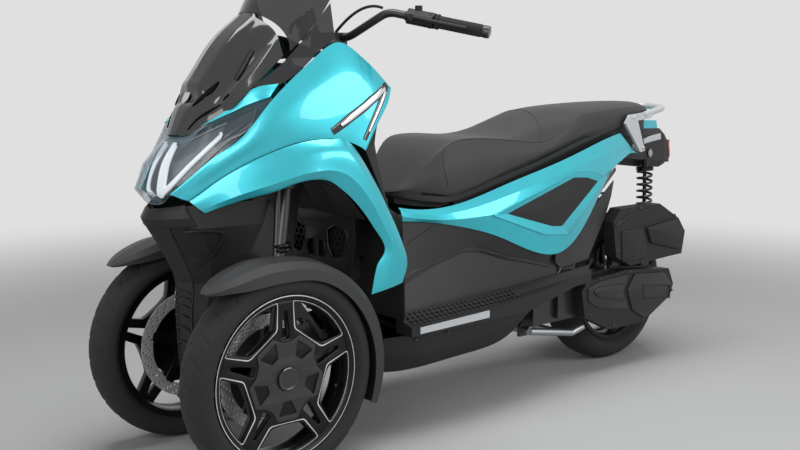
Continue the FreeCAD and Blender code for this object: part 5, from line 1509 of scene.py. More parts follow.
@dataclass
class NoseCowl(SubAssembly):
    """Gloss black cowl with its spine, hooded pocket, side flutes and slots, and painted shade laid in its
    hollows.

    Attributes:
        wall: Its thickness.
        along: Steps from its centre line to its edge.
        across: Steps from its bottom to its top.
        pad_ends: Ways up the cowl of two places under the plain pad.
    """

    wall: float = 0.003
    along: int = 30
    across: int = 60
    pad_ends: Pair = (0.275, 0.375)

    def _height(self, along: float, across: float) -> float:
        """How far the cowl stands proud at a place.

        Args:
            along: Way out from the centre line, 0 to 1.
            across: Way up the cowl, 0 to 1.

        Returns:
            The height in metres.
        """

        def bump(value: float, middle: float, half: float) -> float:
            """A smooth hump of height 1."""
            away = abs(value - middle) / half
            return (1 - away**2) ** 2 if away < 1 else 0.0

        def ramp(value: float, low: float, high: float) -> float:
            """A smooth rise from 0 to 1."""
            t = max(0.0, min(1.0, (value - low) / (high - low)))
            return t * t * (3 - 2 * t)

        spine = 0.010 * ramp(across, 0.40, 0.50) * (1 - ramp(along, 0.24, 0.36)) * (
            1 - 0.5 * ramp(across, 0.86, 1.0)
        )
        hood = 0.007 * bump(across, 0.43, 0.07) * (1 - ramp(along, 0.30, 0.52))
        pocket = -0.006 * bump(across, 0.33, 0.10) * (1 - ramp(along, 0.20, 0.34))
        flute = -0.009 * ramp(across, 0.34, 0.52) * bump(along, 0.56, 0.20) * (1 - ramp(across, 0.84, 0.98))
        edge = 0.003 * ramp(along, 0.70, 0.78) * ramp(across, 0.15, 0.30)
        beak = 0.003 * (1 - ramp(along, 0.30, 0.42)) * (1 - ramp(across, 0.20, 0.32))
        return spine + hood + pocket + flute + edge + beak

    def build(self) -> None:
        """Makes the cowl and its small pieces."""
        outer, inner = [], []
        for b in range(self.across + 1):
            outs, ins = [], []
            for a in range(-self.along, self.along + 1):
                share, up = abs(a) / self.along, b / self.across
                place, out = COWL.at(share, up), COWL.normal(share, up)
                if a == 0:
                    out = Vector((out.x, 0, out.z)).normalized()
                lift = self._height(share, up)
                edge = share == 1 or b in (0, self.across)
                heights = (lift - (self.wall * EDGE_ROUND if edge else 0), lift - self.wall)
                for row, height in zip((outs, ins), heights):
                    spot = place + out * height
                    row.append(Vector((spot.x, -spot.y if a < 0 else spot.y, spot.z)))
            outer.append(outs)
            inner.append(ins)
        shape = Shape().net(outer).net(inner).add(rims(outer, inner))
        self.piece("nose_cowl_shaped", shape, Finishes.GLOSS_BLACK, stands_for=["nose_cowl"], smooth=26)
        low, high = (COWL.at(0, up) for up in self.pad_ends)
        out = COWL.normal(0.02, 0.33)
        out = Vector((out.x, 0, out.z)).normalized()
        middle, up = (low + high) / 2, (high - low).normalized()
        loop = rounded(
            ((-0.013, 0.017), (0.013, 0.017), (0.013, -0.004), (0.0, -0.019), (-0.013, -0.004)), 0.005, 3
        )
        left = Vector((0, 1, 0))
        badge = plate([loop], -0.004, -0.0015, 0.0008).moved(
            lambda spot: middle + left * spot.x + up * spot.y + out * spot.z
        )
        self.piece("cowl_blank_pad", badge, Finishes.SILVER)
        slots = COWL.ribbon(
            [(0.60, 0.66), (0.57, 0.76), (0.54, 0.86)], (0.004, 0.0055, 0.004), -0.0062, 0.009
        )
        self.twins("cowl_slots", slots, Finishes.MATTE_BLACK)
        # Painted shade: near-black bands laid along the cowl's hollows by its pocket and side flutes, where
        # their shadow falls.
        hollow_shade = COWL.ribbon(
            [(0.36, 0.27), (0.40, 0.36), (0.44, 0.46), (0.46, 0.56)], (0.0012, 0.0045, 0.0065, 0.0015),
            0.0035, 0.006
        )
        hollow_shade.add(
            COWL.ribbon(
                [(0.62, 0.06), (0.66, 0.22), (0.74, 0.40), (0.84, 0.52)], (0.001, 0.0026, 0.0034, 0.001),
                0.0028, 0.004
            )
        )
        self.twins("cowl_hollow_shade", hollow_shade, Finishes.PAINTED_RECESS_SHADE)
        lines = COWL.ribbon([(0.80, 0.36), (0.78, 0.55), (0.76, 0.75), (0.74, 0.95)], 0.0012, 0.0036, 0.001)
        self.twins("cowl_edge_lines", lines, Finishes.BLACK_STEEL)


HOUSING = skin(
    (600, 0, 800),
    *zip(
        ((925, 0, 850), (970, 0, 796), (990, 0, 742), (965, 0, 712)),
        ((916, 43, 856), (950, 45, 796), (966, 50, 735), (955, 45, 715)),
        ((872, 80, 884), (898, 84, 826), (918, 84, 772), (925, 80, 757)),
        ((816, 113, 914), (838, 120, 872), (850, 124, 838), (856, 124, 826)),
        ((766, 142, 940), (778, 148, 916), (788, 153, 893), (792, 155, 886))
    )
)


@dataclass
class Headlamp(SubAssembly):
    """Inside of the headlamp: lining, light bars, dark trim and corner reflectors."""

    def build(self) -> None:
        """Makes the pieces behind the clear lens."""
        self.twins(
            "headlamp_reflector", HOUSING.shell(48, 18, 0.003), Finishes.LAMP_GREY,
            stands_for=["headlamp_housing"]
        )
        bars = HOUSING.ribbon(
            [(0.12, 0.03), (0.14, 0.33), (0.15, 0.58), (0.12, 0.84)], (0.0080, 0.0115, 0.0120, 0.0090), 0.0065
        )
        bars.add(
            HOUSING.ribbon(
                [(0.08, 0.86), (0.22, 0.64), (0.38, 0.49), (0.54, 0.37), (0.68, 0.28), (0.66, 0.20)],
                (0.0085, 0.0065, 0.0058, 0.0052, 0.0045, 0.0018), 0.0070
            )
        )
        self.twins("headlamp_light_bars", bars, Finishes.LIGHT_BAR)
        trim = HOUSING.ribbon(
            [(0.12, 0.95), (0.30, 0.74), (0.45, 0.62), (0.62, 0.50), (0.80, 0.52), (0.98, 0.75)],
            (0.006, 0.0085, 0.0085, 0.0085, 0.007, 0.004), 0.0050
        )
        trim.add(
            HOUSING.ribbon(
                [(0.02, 0.04), (0.25, 0.05), (0.5, 0.05), (0.75, 0.07), (0.97, 0.20)],
                (0.003, 0.003, 0.004, 0.006, 0.004), 0.0050
            )
        )
        self.twins("headlamp_dark_trim", trim, Finishes.GLOSS_BLACK)
        ways = [[(a / 6, b / 4) for a in (4.2, 4.6, 5.1, 5.5, 5.9)] for b in (0.3, 0.8, 1.3, 1.8)]
        rows = [[HOUSING.at(*way) + HOUSING.normal(*way) * 0.007 for way in row] for row in ways]
        corner = Surface(rows, HOUSING.inside)
        self.twins("headlamp_corner_reflectors", corner.shell(20, 12, 0.004), Finishes.REFLECTOR)


CHIN = skin(
    (800, 0, 500), ((985, 0, 686), (965, 50, 692), (915, 105, 699), (706, 106, 697)),
    ((1008, 0, 648), (982, 52, 644), (918, 108, 640), (730, 108, 636)),
    ((950, 0, 566), (934, 46, 563), (872, 84, 560), (768, 102, 560)),
    ((915, 0, 490), (903, 42, 490), (866, 68, 490), (806, 84, 490)),
    ((915, 0, 400), (906, 38, 400), (882, 62, 400), (845, 74, 400)),
    ((905, 0, 230), (899, 33, 230), (886, 50, 230), (865, 58, 230)), creases=(1,)
)


@dataclass
class ChinDetails(SubAssembly):
    """Facet lines, lower ribs and the small beak of the chin.

    Attributes:
        facet: Corners of the raised line round the facet, forward and upward.
        middle: Way of the line near the chin's middle.
        ribs: Number of lower ribs.
        rib_first: Way down the chin of the highest rib.
        rib_step: From one rib to the next.
        rib: A rib's places along the chin, and how far each is lower than the first.
    """

    facet: tuple[Pair, ...] = ((0.950, 0.632), (0.905, 0.634), (0.850, 0.619), (0.872, 0.566), (0.905, 0.532))
    middle: tuple[Pair, ...] = ((0.33, 0.02), (0.36, 0.19), (0.34, 0.40), (0.33, 0.58), (0.33, 0.97))
    ribs: int = 7
    rib_first: float = 0.66
    rib_step: float = 0.045
    rib: tuple[Pair, ...] = ((0.0, 0.0), (0.15, 0.004), (0.30, 0.012))

    def build(self) -> None:
        """Makes the raised lines and ribs."""
        lines = CHIN.trace(self.facet, 0.0034, 0.0042, 0.002, 4)
        lines.add(CHIN.ribbon(self.middle, 0.0030, 0.0038, 0.002))
        self.twins("chin_facet_lines", lines, Finishes.MATTE_BLACK)
        ribs = Shape()
        for number in range(self.ribs):
            down = self.rib_first + number * self.rib_step
            ribs.add(
                CHIN.ribbon([(along, down + drop) for along, drop in self.rib], 0.0032, 0.0050, 0.001, 4)
            )
        self.twins("chin_ribs", ribs, Finishes.MATTE_BLACK)
        beak = skin(
            (800, 0, 600), ((1000, 0, 688), (984, 40, 692), (946, 84, 700)),
            ((1017, 0, 662), (994, 50, 664), (938, 100, 668)),
            ((1008, 0, 640), (981, 54, 638), (918, 108.5, 640)), creases=(1,)
        )
        self.twins("chin_beak", beak.shell(16, 8, 0.010), Finishes.MATTE_BLACK, smooth=20)


@dataclass
class RadiatorPanel(SubAssembly):
    """Dark panel before the radiator, with two windows a side onto its honeycomb guard.

    Attributes:
        front: Place forward of its front face.
        thick: Its thickness.
        outline: Its corners, to the left and upward.
        windows: Corners of the left-hand windows.
    """

    front: float = 0.482
    thick: float = 0.004
    outline: tuple[Pair, ...] = (
        (-0.172, 0.640), (0.172, 0.640), (0.176, 0.560), (0.150, 0.452), (-0.150, 0.452), (-0.176, 0.560)
    )
    windows: tuple[tuple[Pair, ...], ...] = (
        (
            (0.052, 0.588), (0.084, 0.604), (0.136, 0.598), (0.146, 0.574), (0.122, 0.522), (0.078, 0.510),
            (0.056, 0.545)
        ),
        ((0.010, 0.560), (0.036, 0.554), (0.043, 0.528), (0.030, 0.506), (0.010, 0.510))
    )

    def build(self) -> None:
        """Makes the panel and its lips."""
        outline = rounded(self.outline, 0.012, 3)
        windows = [rounded(hole, 0.005, 3) for hole in self.windows]
        loops = [outline, *windows, *[[(-u, v) for u, v in hole] for hole in windows]]
        panel = plate(loops, self.front - self.thick, self.front, 0.0008)
        panel = panel.moved(lambda spot: Vector((spot.z, spot.x, spot.y)))
        self.piece("radiator_panel", panel, Finishes.MATTE_BLACK)
        lips = Shape()
        for hole in windows:
            line = [Vector((self.front, u, v)) for u, v in hole]
            lips.add(rod([*line, line[0]], 0.0018, 8))
        self.twins("radiator_window_lips", lips, Finishes.BLACK_STEEL)


PANEL = skin(
    (-200, 0, 600),
    (
        (285, 126, 640), (120, 156, 632), (-100, 170, 680), (-270, 172, 718), (-420, 166, 752),
        (-560, 152, 785), (-690, 132, 806)
    ),
    (
        (282, 132, 630), (110, 172, 615), (-100, 192, 652), (-265, 196, 686), (-415, 188, 715),
        (-555, 170, 742), (-720, 138, 775)
    ),
    (
        (279, 135, 615), (100, 178, 595), (-70, 204, 600), (-235, 210, 600), (-370, 204, 620),
        (-540, 182, 672), (-760, 134, 745)
    ),
    (
        (275, 132, 600), (90, 172, 572), (-50, 196, 530), (-200, 206, 468), (-300, 206, 452),
        (-500, 182, 578), (-803, 122, 729)
    )
)


@dataclass
class SidePanelFrames(SubAssembly):
    """Dished painted bevel round each dark insert of the side panels.

    Attributes:
        outer: Corners of the bevel's outer edge, forward and upward.
        inner: Corners of its inner edge.
        middle: A place near the insert's middle.
    """

    outer: tuple[Pair, ...] = (
        (-0.014, 0.598), (-0.400, 0.704), (-0.480, 0.700), (-0.556, 0.674), (-0.350, 0.508), (-0.230, 0.520)
    )
    inner: tuple[Pair, ...] = (
        (-0.072, 0.598), (-0.379, 0.684), (-0.447, 0.679), (-0.507, 0.663), (-0.314, 0.538), (-0.267, 0.542)
    )

    middle: Pair = (-0.33, 0.61)

    def build(self) -> None:
        """Makes the bevels and the inserts' faces."""
        outside = self._loop(self.outer, 0.010)
        inside = self._loop(self.inner, 0.006)
        rows = []
        for (a, b), (c, d) in zip(outside, inside):
            far, near = PANEL.at(a, b), PANEL.at(c, d)
            out_far, out_near = PANEL.normal(a, b), PANEL.normal(c, d)
            foot, rise = far - out_far * 0.001, far + out_far * 0.0085
            crest = far + out_far * 0.0094 + (near - far) * 0.06
            rows.append([foot, rise, crest, near + out_near * 0.0036, near - out_near * 0.002])
        rows.append(rows[0])
        self.twins("side_panel_bevels", Shape().net(rows, closed=True), Finishes.PAINT)
        heart = PANEL.find(*self.middle)
        rings = []
        for t in (0, 0.08, 0.25, 0.6, 1):
            lift = 0.0034 - 0.0008 * min(1, t * 4)
            spots = [(c, d, c + (heart[0] - c) * t, d + (heart[1] - d) * t) for c, d in [*inside, inside[0]]]
            rings.append([PANEL.at(a, b) + PANEL.normal(c, d) * lift for c, d, a, b in spots])
        faces = Shape().net(rings)
        self.twins("side_insert_faces", faces, Finishes.MATTE_BLACK)

    def _loop(self, corners: Sequence[Pair], radius: float) -> list[Pair]:
        """Ways along and across the panel of a rounded outline."""
        return [PANEL.find(x, z) for x, z in rounded(corners, radius, 4)]


def side_plate(
    corners: Sequence[Pair], outer: float, inner: float, bevel: float, radius: float = 0.008
) -> Shape:
    """A bevelled plate seen from the side.

    Args:
        corners: Outline as places forward and upward.
        outer: Its outer face's place to the left.
        inner: Its inner face's.
        bevel: Width of its bevel.
        radius: Radius of its corners.

    Returns:
        The plate.
    """
    made = plate([rounded(corners, radius, 3)], -outer, -inner, bevel)
    return made.moved(lambda spot: Vector((spot.x, -spot.z, spot.y)))


@dataclass
class DriveCovers(SubAssembly):
    """Raised fields, chevrons and ridges of the transmission cover and the air box.

    Attributes:
        fields: Each raised field of the cover: its outer and inner face, its bevel and its corners.
        recess: Corners of the ridge round the rear field's recess.
        recess_face: Its place to the left.
        boxes: The air box's fields, in the same way.
        ridge: Corners of the air box's front ridge.
        ridge_face: Its place to the left.
        fins: Number of the engine's fins.
        fin_first: Height of the lowest one.
        fin_step: From one fin to the next.
        fin_thick: Thickness of a fin.
        fin_ends: Its front and its rear end.
    """

    fields: tuple[tuple[float, float, float, tuple[Pair, ...]], ...] = (
        (
            0.173, 0.160, 0.0035,
            (
                (-0.905, 0.312), (-0.742, 0.326), (-0.703, 0.273), (-0.734, 0.200), (-0.800, 0.163),
                (-0.930, 0.215), (-0.955, 0.262)
            )
        ),
        (
            0.171, 0.160, 0.0035,
            (
                (-0.712, 0.330), (-0.560, 0.322), (-0.500, 0.308), (-0.500, 0.262), (-0.560, 0.232),
                (-0.716, 0.205), (-0.682, 0.270)
            )
        ),
        (
            0.1765, 0.165, 0.003,
            (
                (-0.690, 0.300), (-0.545, 0.306), (-0.522, 0.292), (-0.545, 0.272), (-0.694, 0.238),
                (-0.672, 0.268)
            )
        )
    )
    recess: tuple[Pair, ...] = (
        (-0.786, 0.279), (-0.938, 0.262), (-0.940, 0.216), (-0.789, 0.233), (-0.786, 0.279)
    )
    recess_face: float = 0.1730
    boxes: tuple[tuple[float, float, float, tuple[Pair, ...]], ...] = (
        (
            0.196, 0.180, 0.005,
            ((-0.938, 0.500), (-0.772, 0.486), (-0.798, 0.428), (-0.965, 0.388), (-0.988, 0.440))
        ),
        (
            0.190, 0.180, 0.004,
            ((-0.640, 0.486), (-0.755, 0.484), (-0.782, 0.428), (-0.770, 0.376), (-0.650, 0.380))
        )
    )
    ridge: tuple[Pair, ...] = ((-0.612, 0.505), (-0.671, 0.532), (-0.820, 0.548))
    ridge_face: float = 0.186
    fins: int = 6
    fin_first: float = 0.318
    fin_step: float = 0.017
    fin_thick: float = 0.005
    fin_ends: Pair = (-0.300, -0.450)

    def build(self) -> None:
        """Makes the raised fields and the ridges."""
        for name, fields, finish in (
            ("transmission_fields", self.fields, Finishes.CAST_BLACK),
            ("air_box_fields", self.boxes, Finishes.MATTE_BLACK),
        ):
            raised = Shape()
            for outer, inner, bevel, corners in fields:
                raised.add(side_plate(corners, outer, inner, bevel))
            self.piece(name, raised, finish)
        ridges = rod([Vector((x, self.recess_face, z)) for x, z in self.recess], 0.0024, 8)
        ridges.add(rod([Vector((x, self.ridge_face, z)) for x, z in self.ridge], 0.0040, 8))
        self.piece("cover_ridges", ridges, Finishes.MATTE_BLACK)
        made = Shape()
        ahead, behind = self.fin_ends
        for number in range(self.fins):
            low = self.fin_first + number * self.fin_step
            high = low + self.fin_thick
            made.add(
                side_plate(
                    ((ahead, low), (ahead, high), (behind, high), (behind, low)), 0.150, 0.130, 0.0008, 0.001
                )
            )
        self.piece("engine_fins", made, Finishes.ALLOY_DARK)


TAIL_SIDE = skin(
    (-850, 0, 750), ((-700, 115.9, 780), (-850, 102.6, 792), (-1000, 83.6, 786), (-1040, 74.1, 750)),
    ((-700, 119, 752), (-850, 105.3, 748), (-1000, 85.8, 740), (-1040, 76, 726)),
    ((-700, 122, 725), (-850, 108, 705), (-1000, 88, 693), (-1040, 78, 701))
)


@dataclass
class TailDetails(SubAssembly):
    """Silver strips, round reflectors and the lamp's returns of the tail.

    Attributes:
        strip: Places along the silver strip, forward and upward.
        strip_halves: Half its width at each.
        reflector: Middle of the round reflector.
        lamp: Ways along and across the tail of the lamp's return.
        lamp_halves: Half its width at each.
    """

    strip: tuple[Pair, ...] = ((-0.852, 0.768), (-0.900, 0.775), (-0.968, 0.780))
    strip_halves: tuple[float, ...] = (0.0085, 0.0105, 0.0105)
    reflector: Pair = (-0.895, 0.726)
    lamp: tuple[Pair, ...] = ((0.985, 0.06), (0.99, 0.5), (0.985, 0.94))
    lamp_halves: tuple[float, ...] = (0.003, 0.0045, 0.003)

    def build(self) -> None:
        """Makes the tail's small pieces."""
        strip = TAIL_SIDE.trace(self.strip, self.strip_halves, 0.0035)
        self.twins("tail_strips", strip, Finishes.SILVER)
        spot = TAIL_SIDE.find(*self.reflector)
        place, out = TAIL_SIDE.at(*spot), TAIL_SIDE.normal(*spot)
        ring = turned(((-0.003, 0.0165), (0.003, 0.0165), (0.004, 0.0155), (0.0035, 0.014)), place, out, 40)
        self.twins("tail_reflector_rims", ring, Finishes.GLOSS_BLACK)
        face = turned(((-0.001, 0.014), (0.0032, 0.014), (0.0040, 0.010), (0.0044, 0.0004)), place, out, 40)
        self.twins("tail_reflectors", face, Finishes.REFLECTOR_PALE)
        lamp = TAIL_SIDE.ribbon(self.lamp, self.lamp_halves, 0.0030)
        self.twins("tail_lamp_returns", lamp, Finishes.LAMP_RED)


TUNNEL = skin(
    (0, 0, 450),
    ((348, 85, 690), (300, 83, 645), (250, 82, 612), (100, 100, 590), (-30, 115, 515), (-330, 150, 490)),
    ((348, 125, 580), (300, 120, 550), (250, 116, 535), (100, 140, 530), (-30, 168, 510), (-330, 176, 470)),
    ((348, 152, 400), (280, 146, 420), (160, 140, 458), (20, 150, 492), (-140, 168, 445), (-330, 178, 400)),
    ((348, 176, 345), (280, 172, 345), (160, 166, 345), (20, 166, 345), (-140, 170, 345), (-330, 178, 345)),
    creases=(2,)
)


@dataclass
class TunnelDetails(SubAssembly):
    """Raised brow over the tunnel's recessed facet, upper skins and the panel lines before the seat."""

    def build(self) -> None:
        """Makes the brows, the skins and the lines."""
        brow = TUNNEL.trace(
            (
                (0.335, 0.412), (0.295, 0.434), (0.186, 0.468), (0.068, 0.495), (0.010, 0.494),
                (-0.136, 0.452), (-0.300, 0.408)
            ),
            (0.004, 0.006, 0.008, 0.008, 0.008, 0.006, 0.003), 0.0060
        )
        self.twins("tunnel_brows", brow, Finishes.MATTE_GREY)
        upper = skin(
            (0, 0, 450),
            (
                (268, 124, 600), (170, 148, 588), (90, 166, 575), (20, 180, 555), (-50, 191, 532),
                (-125, 198, 502), (-200, 202, 472), (-285, 202, 456)
            ),
            (
                (274, 134, 520), (170, 146, 530), (90, 158, 535), (20, 168, 528), (-50, 176, 508),
                (-125, 184, 480), (-200, 188, 455), (-285, 190, 436)
            ),
            (
                (280, 147, 421), (170, 142, 456), (90, 147, 478), (20, 151.5, 492), (-50, 159, 478),
                (-125, 167.5, 450), (-200, 172.5, 431), (-285, 177.5, 410)
            )
        )
        self.twins("tunnel_upper_skins", upper.shell(48, 12, 0.002), Finishes.MATTE_GREY)
        lines = upper.trace(((0.262, 0.532), (0.216, 0.556), (0.170, 0.580)), 0.0014, 0.0012, 0.001)
        lines.add(
            TUNNEL.trace(
                ((0.340, 0.515), (0.282, 0.530), (0.216, 0.556), (0.158, 0.585)), 0.0014, 0.0012, 0.001
            )
        )
        self.twins("tunnel_panel_lines", lines, Finishes.MATTE_BLACK)


@dataclass
class Repeats(SubAssembly):
    """Small like parts, such as screws, studs and knurls, set out by Geometry Nodes.

    Attributes:
        name: The piece's name.
        body: The body that it rides on.
        finish: Its finish.
        spots: Each one's place and the way that it faces.
        radius: Radius of one.
        height: Height of one.
        sides: Number of its sides.
        seed: Seed of the random turns.
        chamfer: Radius of a head's top, as a share.
        dome: Height of its chamfer, as a share.
    """

    name: str
    body: str
    finish: Finish
    spots: list[tuple[Vector, Vector]]
    radius: float
    height: float
    sides: int = 6
    seed: int = 7
    chamfer: float = 0.8
    dome: float = 0.3

    def build(self) -> None:
        """Sets the parts out, then keeps them as one plain mesh."""
        mesh = bpy.data.meshes.new(f"{self.name}_spots")
        mesh.from_pydata([tuple(place) for place, _ in self.spots], [], [])
        facing = mesh.attributes.new("facing", "FLOAT_VECTOR", "POINT")
        for item, (_, out) in zip(facing.data, self.spots):
            item.vector = out
        holder = bpy.data.objects.new(f"{self.name}_spots", mesh)
        bpy.context.scene.collection.objects.link(holder)
        modifier = holder.modifiers.new("repeats", "NODES")
        group = self._group()
        modifier.node_group = group
        values = {
            "Radius": self.radius, "Height": self.height, "Sides": self.sides, "Seed": self.seed,
            "Finish": self.finish.material()
        }
        for item in group.interface.items_tree:
            if item.name in values:
                modifier[item.identifier] = values[item.name]
        bpy.context.view_layer.update()
        graph = bpy.context.evaluated_depsgraph_get()
        made = bpy.data.meshes.new_from_object(holder.evaluated_get(graph), depsgraph=graph)
        holder.modifiers.remove(modifier)
        bpy.data.objects.remove(holder)
        self.piece(self.name, made, self.finish, self.body)

    def _group(self) -> bpy.types.NodeTree:
        """The node group that puts one chamfered head on each spot.

        Returns:
            The group, made once.
        """
        found = bpy.data.node_groups.get("repeats")
        if found:
            return found
        tree = bpy.data.node_groups.new("repeats", "GeometryNodeTree")
        kinds = {
            "Geometry": "NodeSocketGeometry", "Radius": "NodeSocketFloat", "Height": "NodeSocketFloat",
            "Sides": "NodeSocketInt", "Seed": "NodeSocketInt", "Finish": "NodeSocketMaterial"
        }
        for name, kind in kinds.items():
            tree.interface.new_socket(name, in_out="INPUT", socket_type=kind)
        tree.interface.new_socket("Geometry", in_out="OUTPUT", socket_type="NodeSocketGeometry")
        nodes = NodeBuilder(tree)
        given = nodes.add("NodeGroupInput").outputs
        drum = nodes.add(
            "GeometryNodeMeshCylinder",
            {"Vertices": given["Sides"], "Radius": given["Radius"], "Depth": given["Height"]}
        )
        rim = nodes.math("MULTIPLY", given["Radius"], self.chamfer)
        rise = nodes.math("MULTIPLY", given["Height"], self.dome)
        lift = nodes.math("MULTIPLY", given["Height"], 0.5)
        cone = nodes.add(
            "GeometryNodeMeshCone",
            {"Vertices": given["Sides"], "Radius Top": rim, "Radius Bottom": given["Radius"], "Depth": rise}
        )
        offset = nodes.add("ShaderNodeCombineXYZ", {"Z": lift})
        top = nodes.add(
            "GeometryNodeTransform", {"Geometry": cone.outputs["Mesh"], "Translation": offset.outputs[0]}
        )
        head = nodes.add("GeometryNodeJoinGeometry", {"Geometry": top.outputs[0]})
        tree.links.new(drum.outputs["Mesh"], head.inputs[0])
        facing = nodes.add("GeometryNodeInputNamedAttribute", {"Name": "facing"}, data_type="FLOAT_VECTOR")
        aligned = nodes.add("FunctionNodeAlignRotationToVector", {"Vector": facing.outputs[0]}, axis="Z")
        chance = nodes.add(
            "FunctionNodeRandomValue", {"Max": math.tau, "Seed": given["Seed"]}, data_type="FLOAT"
        )
        turn = nodes.add("FunctionNodeAxisAngleToRotation", {"Axis": (0.0, 0.0, 1.0)})
        tree.links.new(next(socket for socket in chance.outputs if socket.enabled), turn.inputs["Angle"])
        turned_by = nodes.add(
            "FunctionNodeRotateRotation", {0: aligned.outputs[0], 1: turn.outputs[0]}, rotation_space="LOCAL"
        )
        spread = nodes.add(
            "GeometryNodeInstanceOnPoints",
            {"Points": given["Geometry"], "Instance": head.outputs[0], "Rotation": turned_by.outputs[0]}
        )
        real = nodes.add("GeometryNodeRealizeInstances", {"Geometry": spread.outputs[0]})
        dressed = nodes.add(
            "GeometryNodeSetMaterial", {"Geometry": real.outputs[0], "Material": given["Finish"]}
        )
        nodes.add("NodeGroupOutput", {"Geometry": dressed.outputs[0]})
        return tree


def mirrored_spots(spots: Sequence[tuple[Point, Point]]) -> list[tuple[Vector, Vector]]:
    """Left-hand spots with their right-hand twins.

    Args:
        spots: Each one's place and the way that it faces.

    Returns:
        All the spots, left and right in turn.
    """
    made = []
    for place, out in spots:
        made.append((Vector(place), Vector(out)))
        made.append((Vector((place[0], -place[1], place[2])), Vector((out[0], -out[1], out[2]))))
    return made


@dataclass
class Handgrips(SubAssembly):
    """Knurls, flanges and bar ends of the two grips.

    Attributes:
        inner: A place on the grip's axis near its inner end.
        outer: A place near its outer end.
        radius: Radius of the grip.
        rings: Rings of knurls along it.
        knurls: Knurls in a ring.
    """

    inner: Point = (0.3000, 0.2738, 1.1559)
    outer: Point = (0.2280, 0.3920, 1.1280)
    radius: float = 0.0160
    rings: int = 22
    knurls: int = 16

    def build(self) -> None:
        """Makes the pieces of both grips."""
        inner, outer = Vector(self.inner), Vector(self.outer)
        along = (outer - inner).normalized()
        length = (outer - inner).length
        side = along.orthogonal().normalized()
        other = along.cross(side)
        spots = []
        for ring in range(self.rings):
            foot = inner + along * (length * (0.04 + 0.9 * ring / (self.rings - 1)))
            for number in range(self.knurls):
                angle = math.tau * (number + 0.5 * (ring % 2)) / self.knurls
                out = around(side, other, angle)
                spots.append((tuple(foot + out * self.radius), tuple(out)))
        Repeats(
            "grip_knurls", "handlebar", Finishes.GRIP, mirrored_spots(spots), radius=0.0019, height=0.0016,
            sides=4
        ).build()
        r = self.radius
        flange = (
            (-0.002, r * 0.8), (-0.002, r * 1.28), (-0.0005, r * 1.36), (0.002, r * 1.36), (0.0035, r * 1.28),
            (0.0035, r * 0.8)
        )
        self.twins("grip_flanges", turned(flange, inner, along, 36), Finishes.GRIP, body="handlebar")
        end = (
            (-0.004, r * 0.7), (-0.004, r * 1.02), (0.001, r * 1.06), (0.012, r * 1.0), (0.0130, r * 0.86),
            (0.0132, r * 0.3), (0.0125, 0.0004)
        )
        ends = turned(end, outer + along * 0.010, along, 36)
        self.twins("bar_ends", ends, Finishes.BLACK_STEEL, body="handlebar")


@dataclass
class FrontRunningGear(SubAssembly):
    """Pots of the front brake calipers and bright rings of the front dampers.

    Attributes:
        pot_turns: Angles of a caliper's two pots round the wheel, in degrees.
        pot_reach: Wheel's axis to a pot's axis.
        pot_plane: How far inboard of the wheel's centre plane a pot lies.
        pot_radius: Radius of a pot.
        damper_foot: Lower end of the left damper.
        damper_head: Its upper end.
        ring_shares: Where the rings sit along the damper.
    """

    pot_turns: Pair = (164.6, 139.4)
    pot_reach: float = 0.128
    pot_plane: float = 0.0655
    pot_radius: float = 0.021
    damper_foot: Point = (0.672, 0.1490, 0.425)
    damper_head: Point = (0.724, 0.1490, 0.715)
    ring_shares: Pair = (0.50, 0.54)

    def build(self) -> None:
        """Makes the pieces of both sides."""
        r = self.pot_radius
        pot = (
            (-0.010, r * 0.9), (-0.006, r), (0.004, r), (0.008, r * 0.86), (0.010, r * 0.5), (0.010, 0.0004)
        )
        for side in BOTH_SIDES:
            label = side.name.lower()
            caliper = Shape()
            for turn in self.pot_turns:
                ahead, up = polar(self.pot_reach, turn)
                place = Vector(on_side(FRONT_WHEEL, side)) + Vector((ahead, -self.pot_plane * side.value, up))
                caliper.add(turned(pot, place, Vector((0, -side.value, 0)), 32))
            self.piece(f"caliper_pots_{label}", caliper, Finishes.ALLOY_DARK, f"knuckle_{label}")
        foot, head = Vector(self.damper_foot), Vector(self.damper_head)
        ring = (
            (-0.004, 0.0120), (-0.004, 0.0205), (-0.002, 0.0215), (0.002, 0.0215), (0.004, 0.0205),
            (0.004, 0.0120)
        )
        rings = Shape()
        for share in self.ring_shares:
            rings.add(turned(ring, foot + (head - foot) * share, head - foot, 32))
        self.twins("damper_rings", rings, Finishes.RIM)


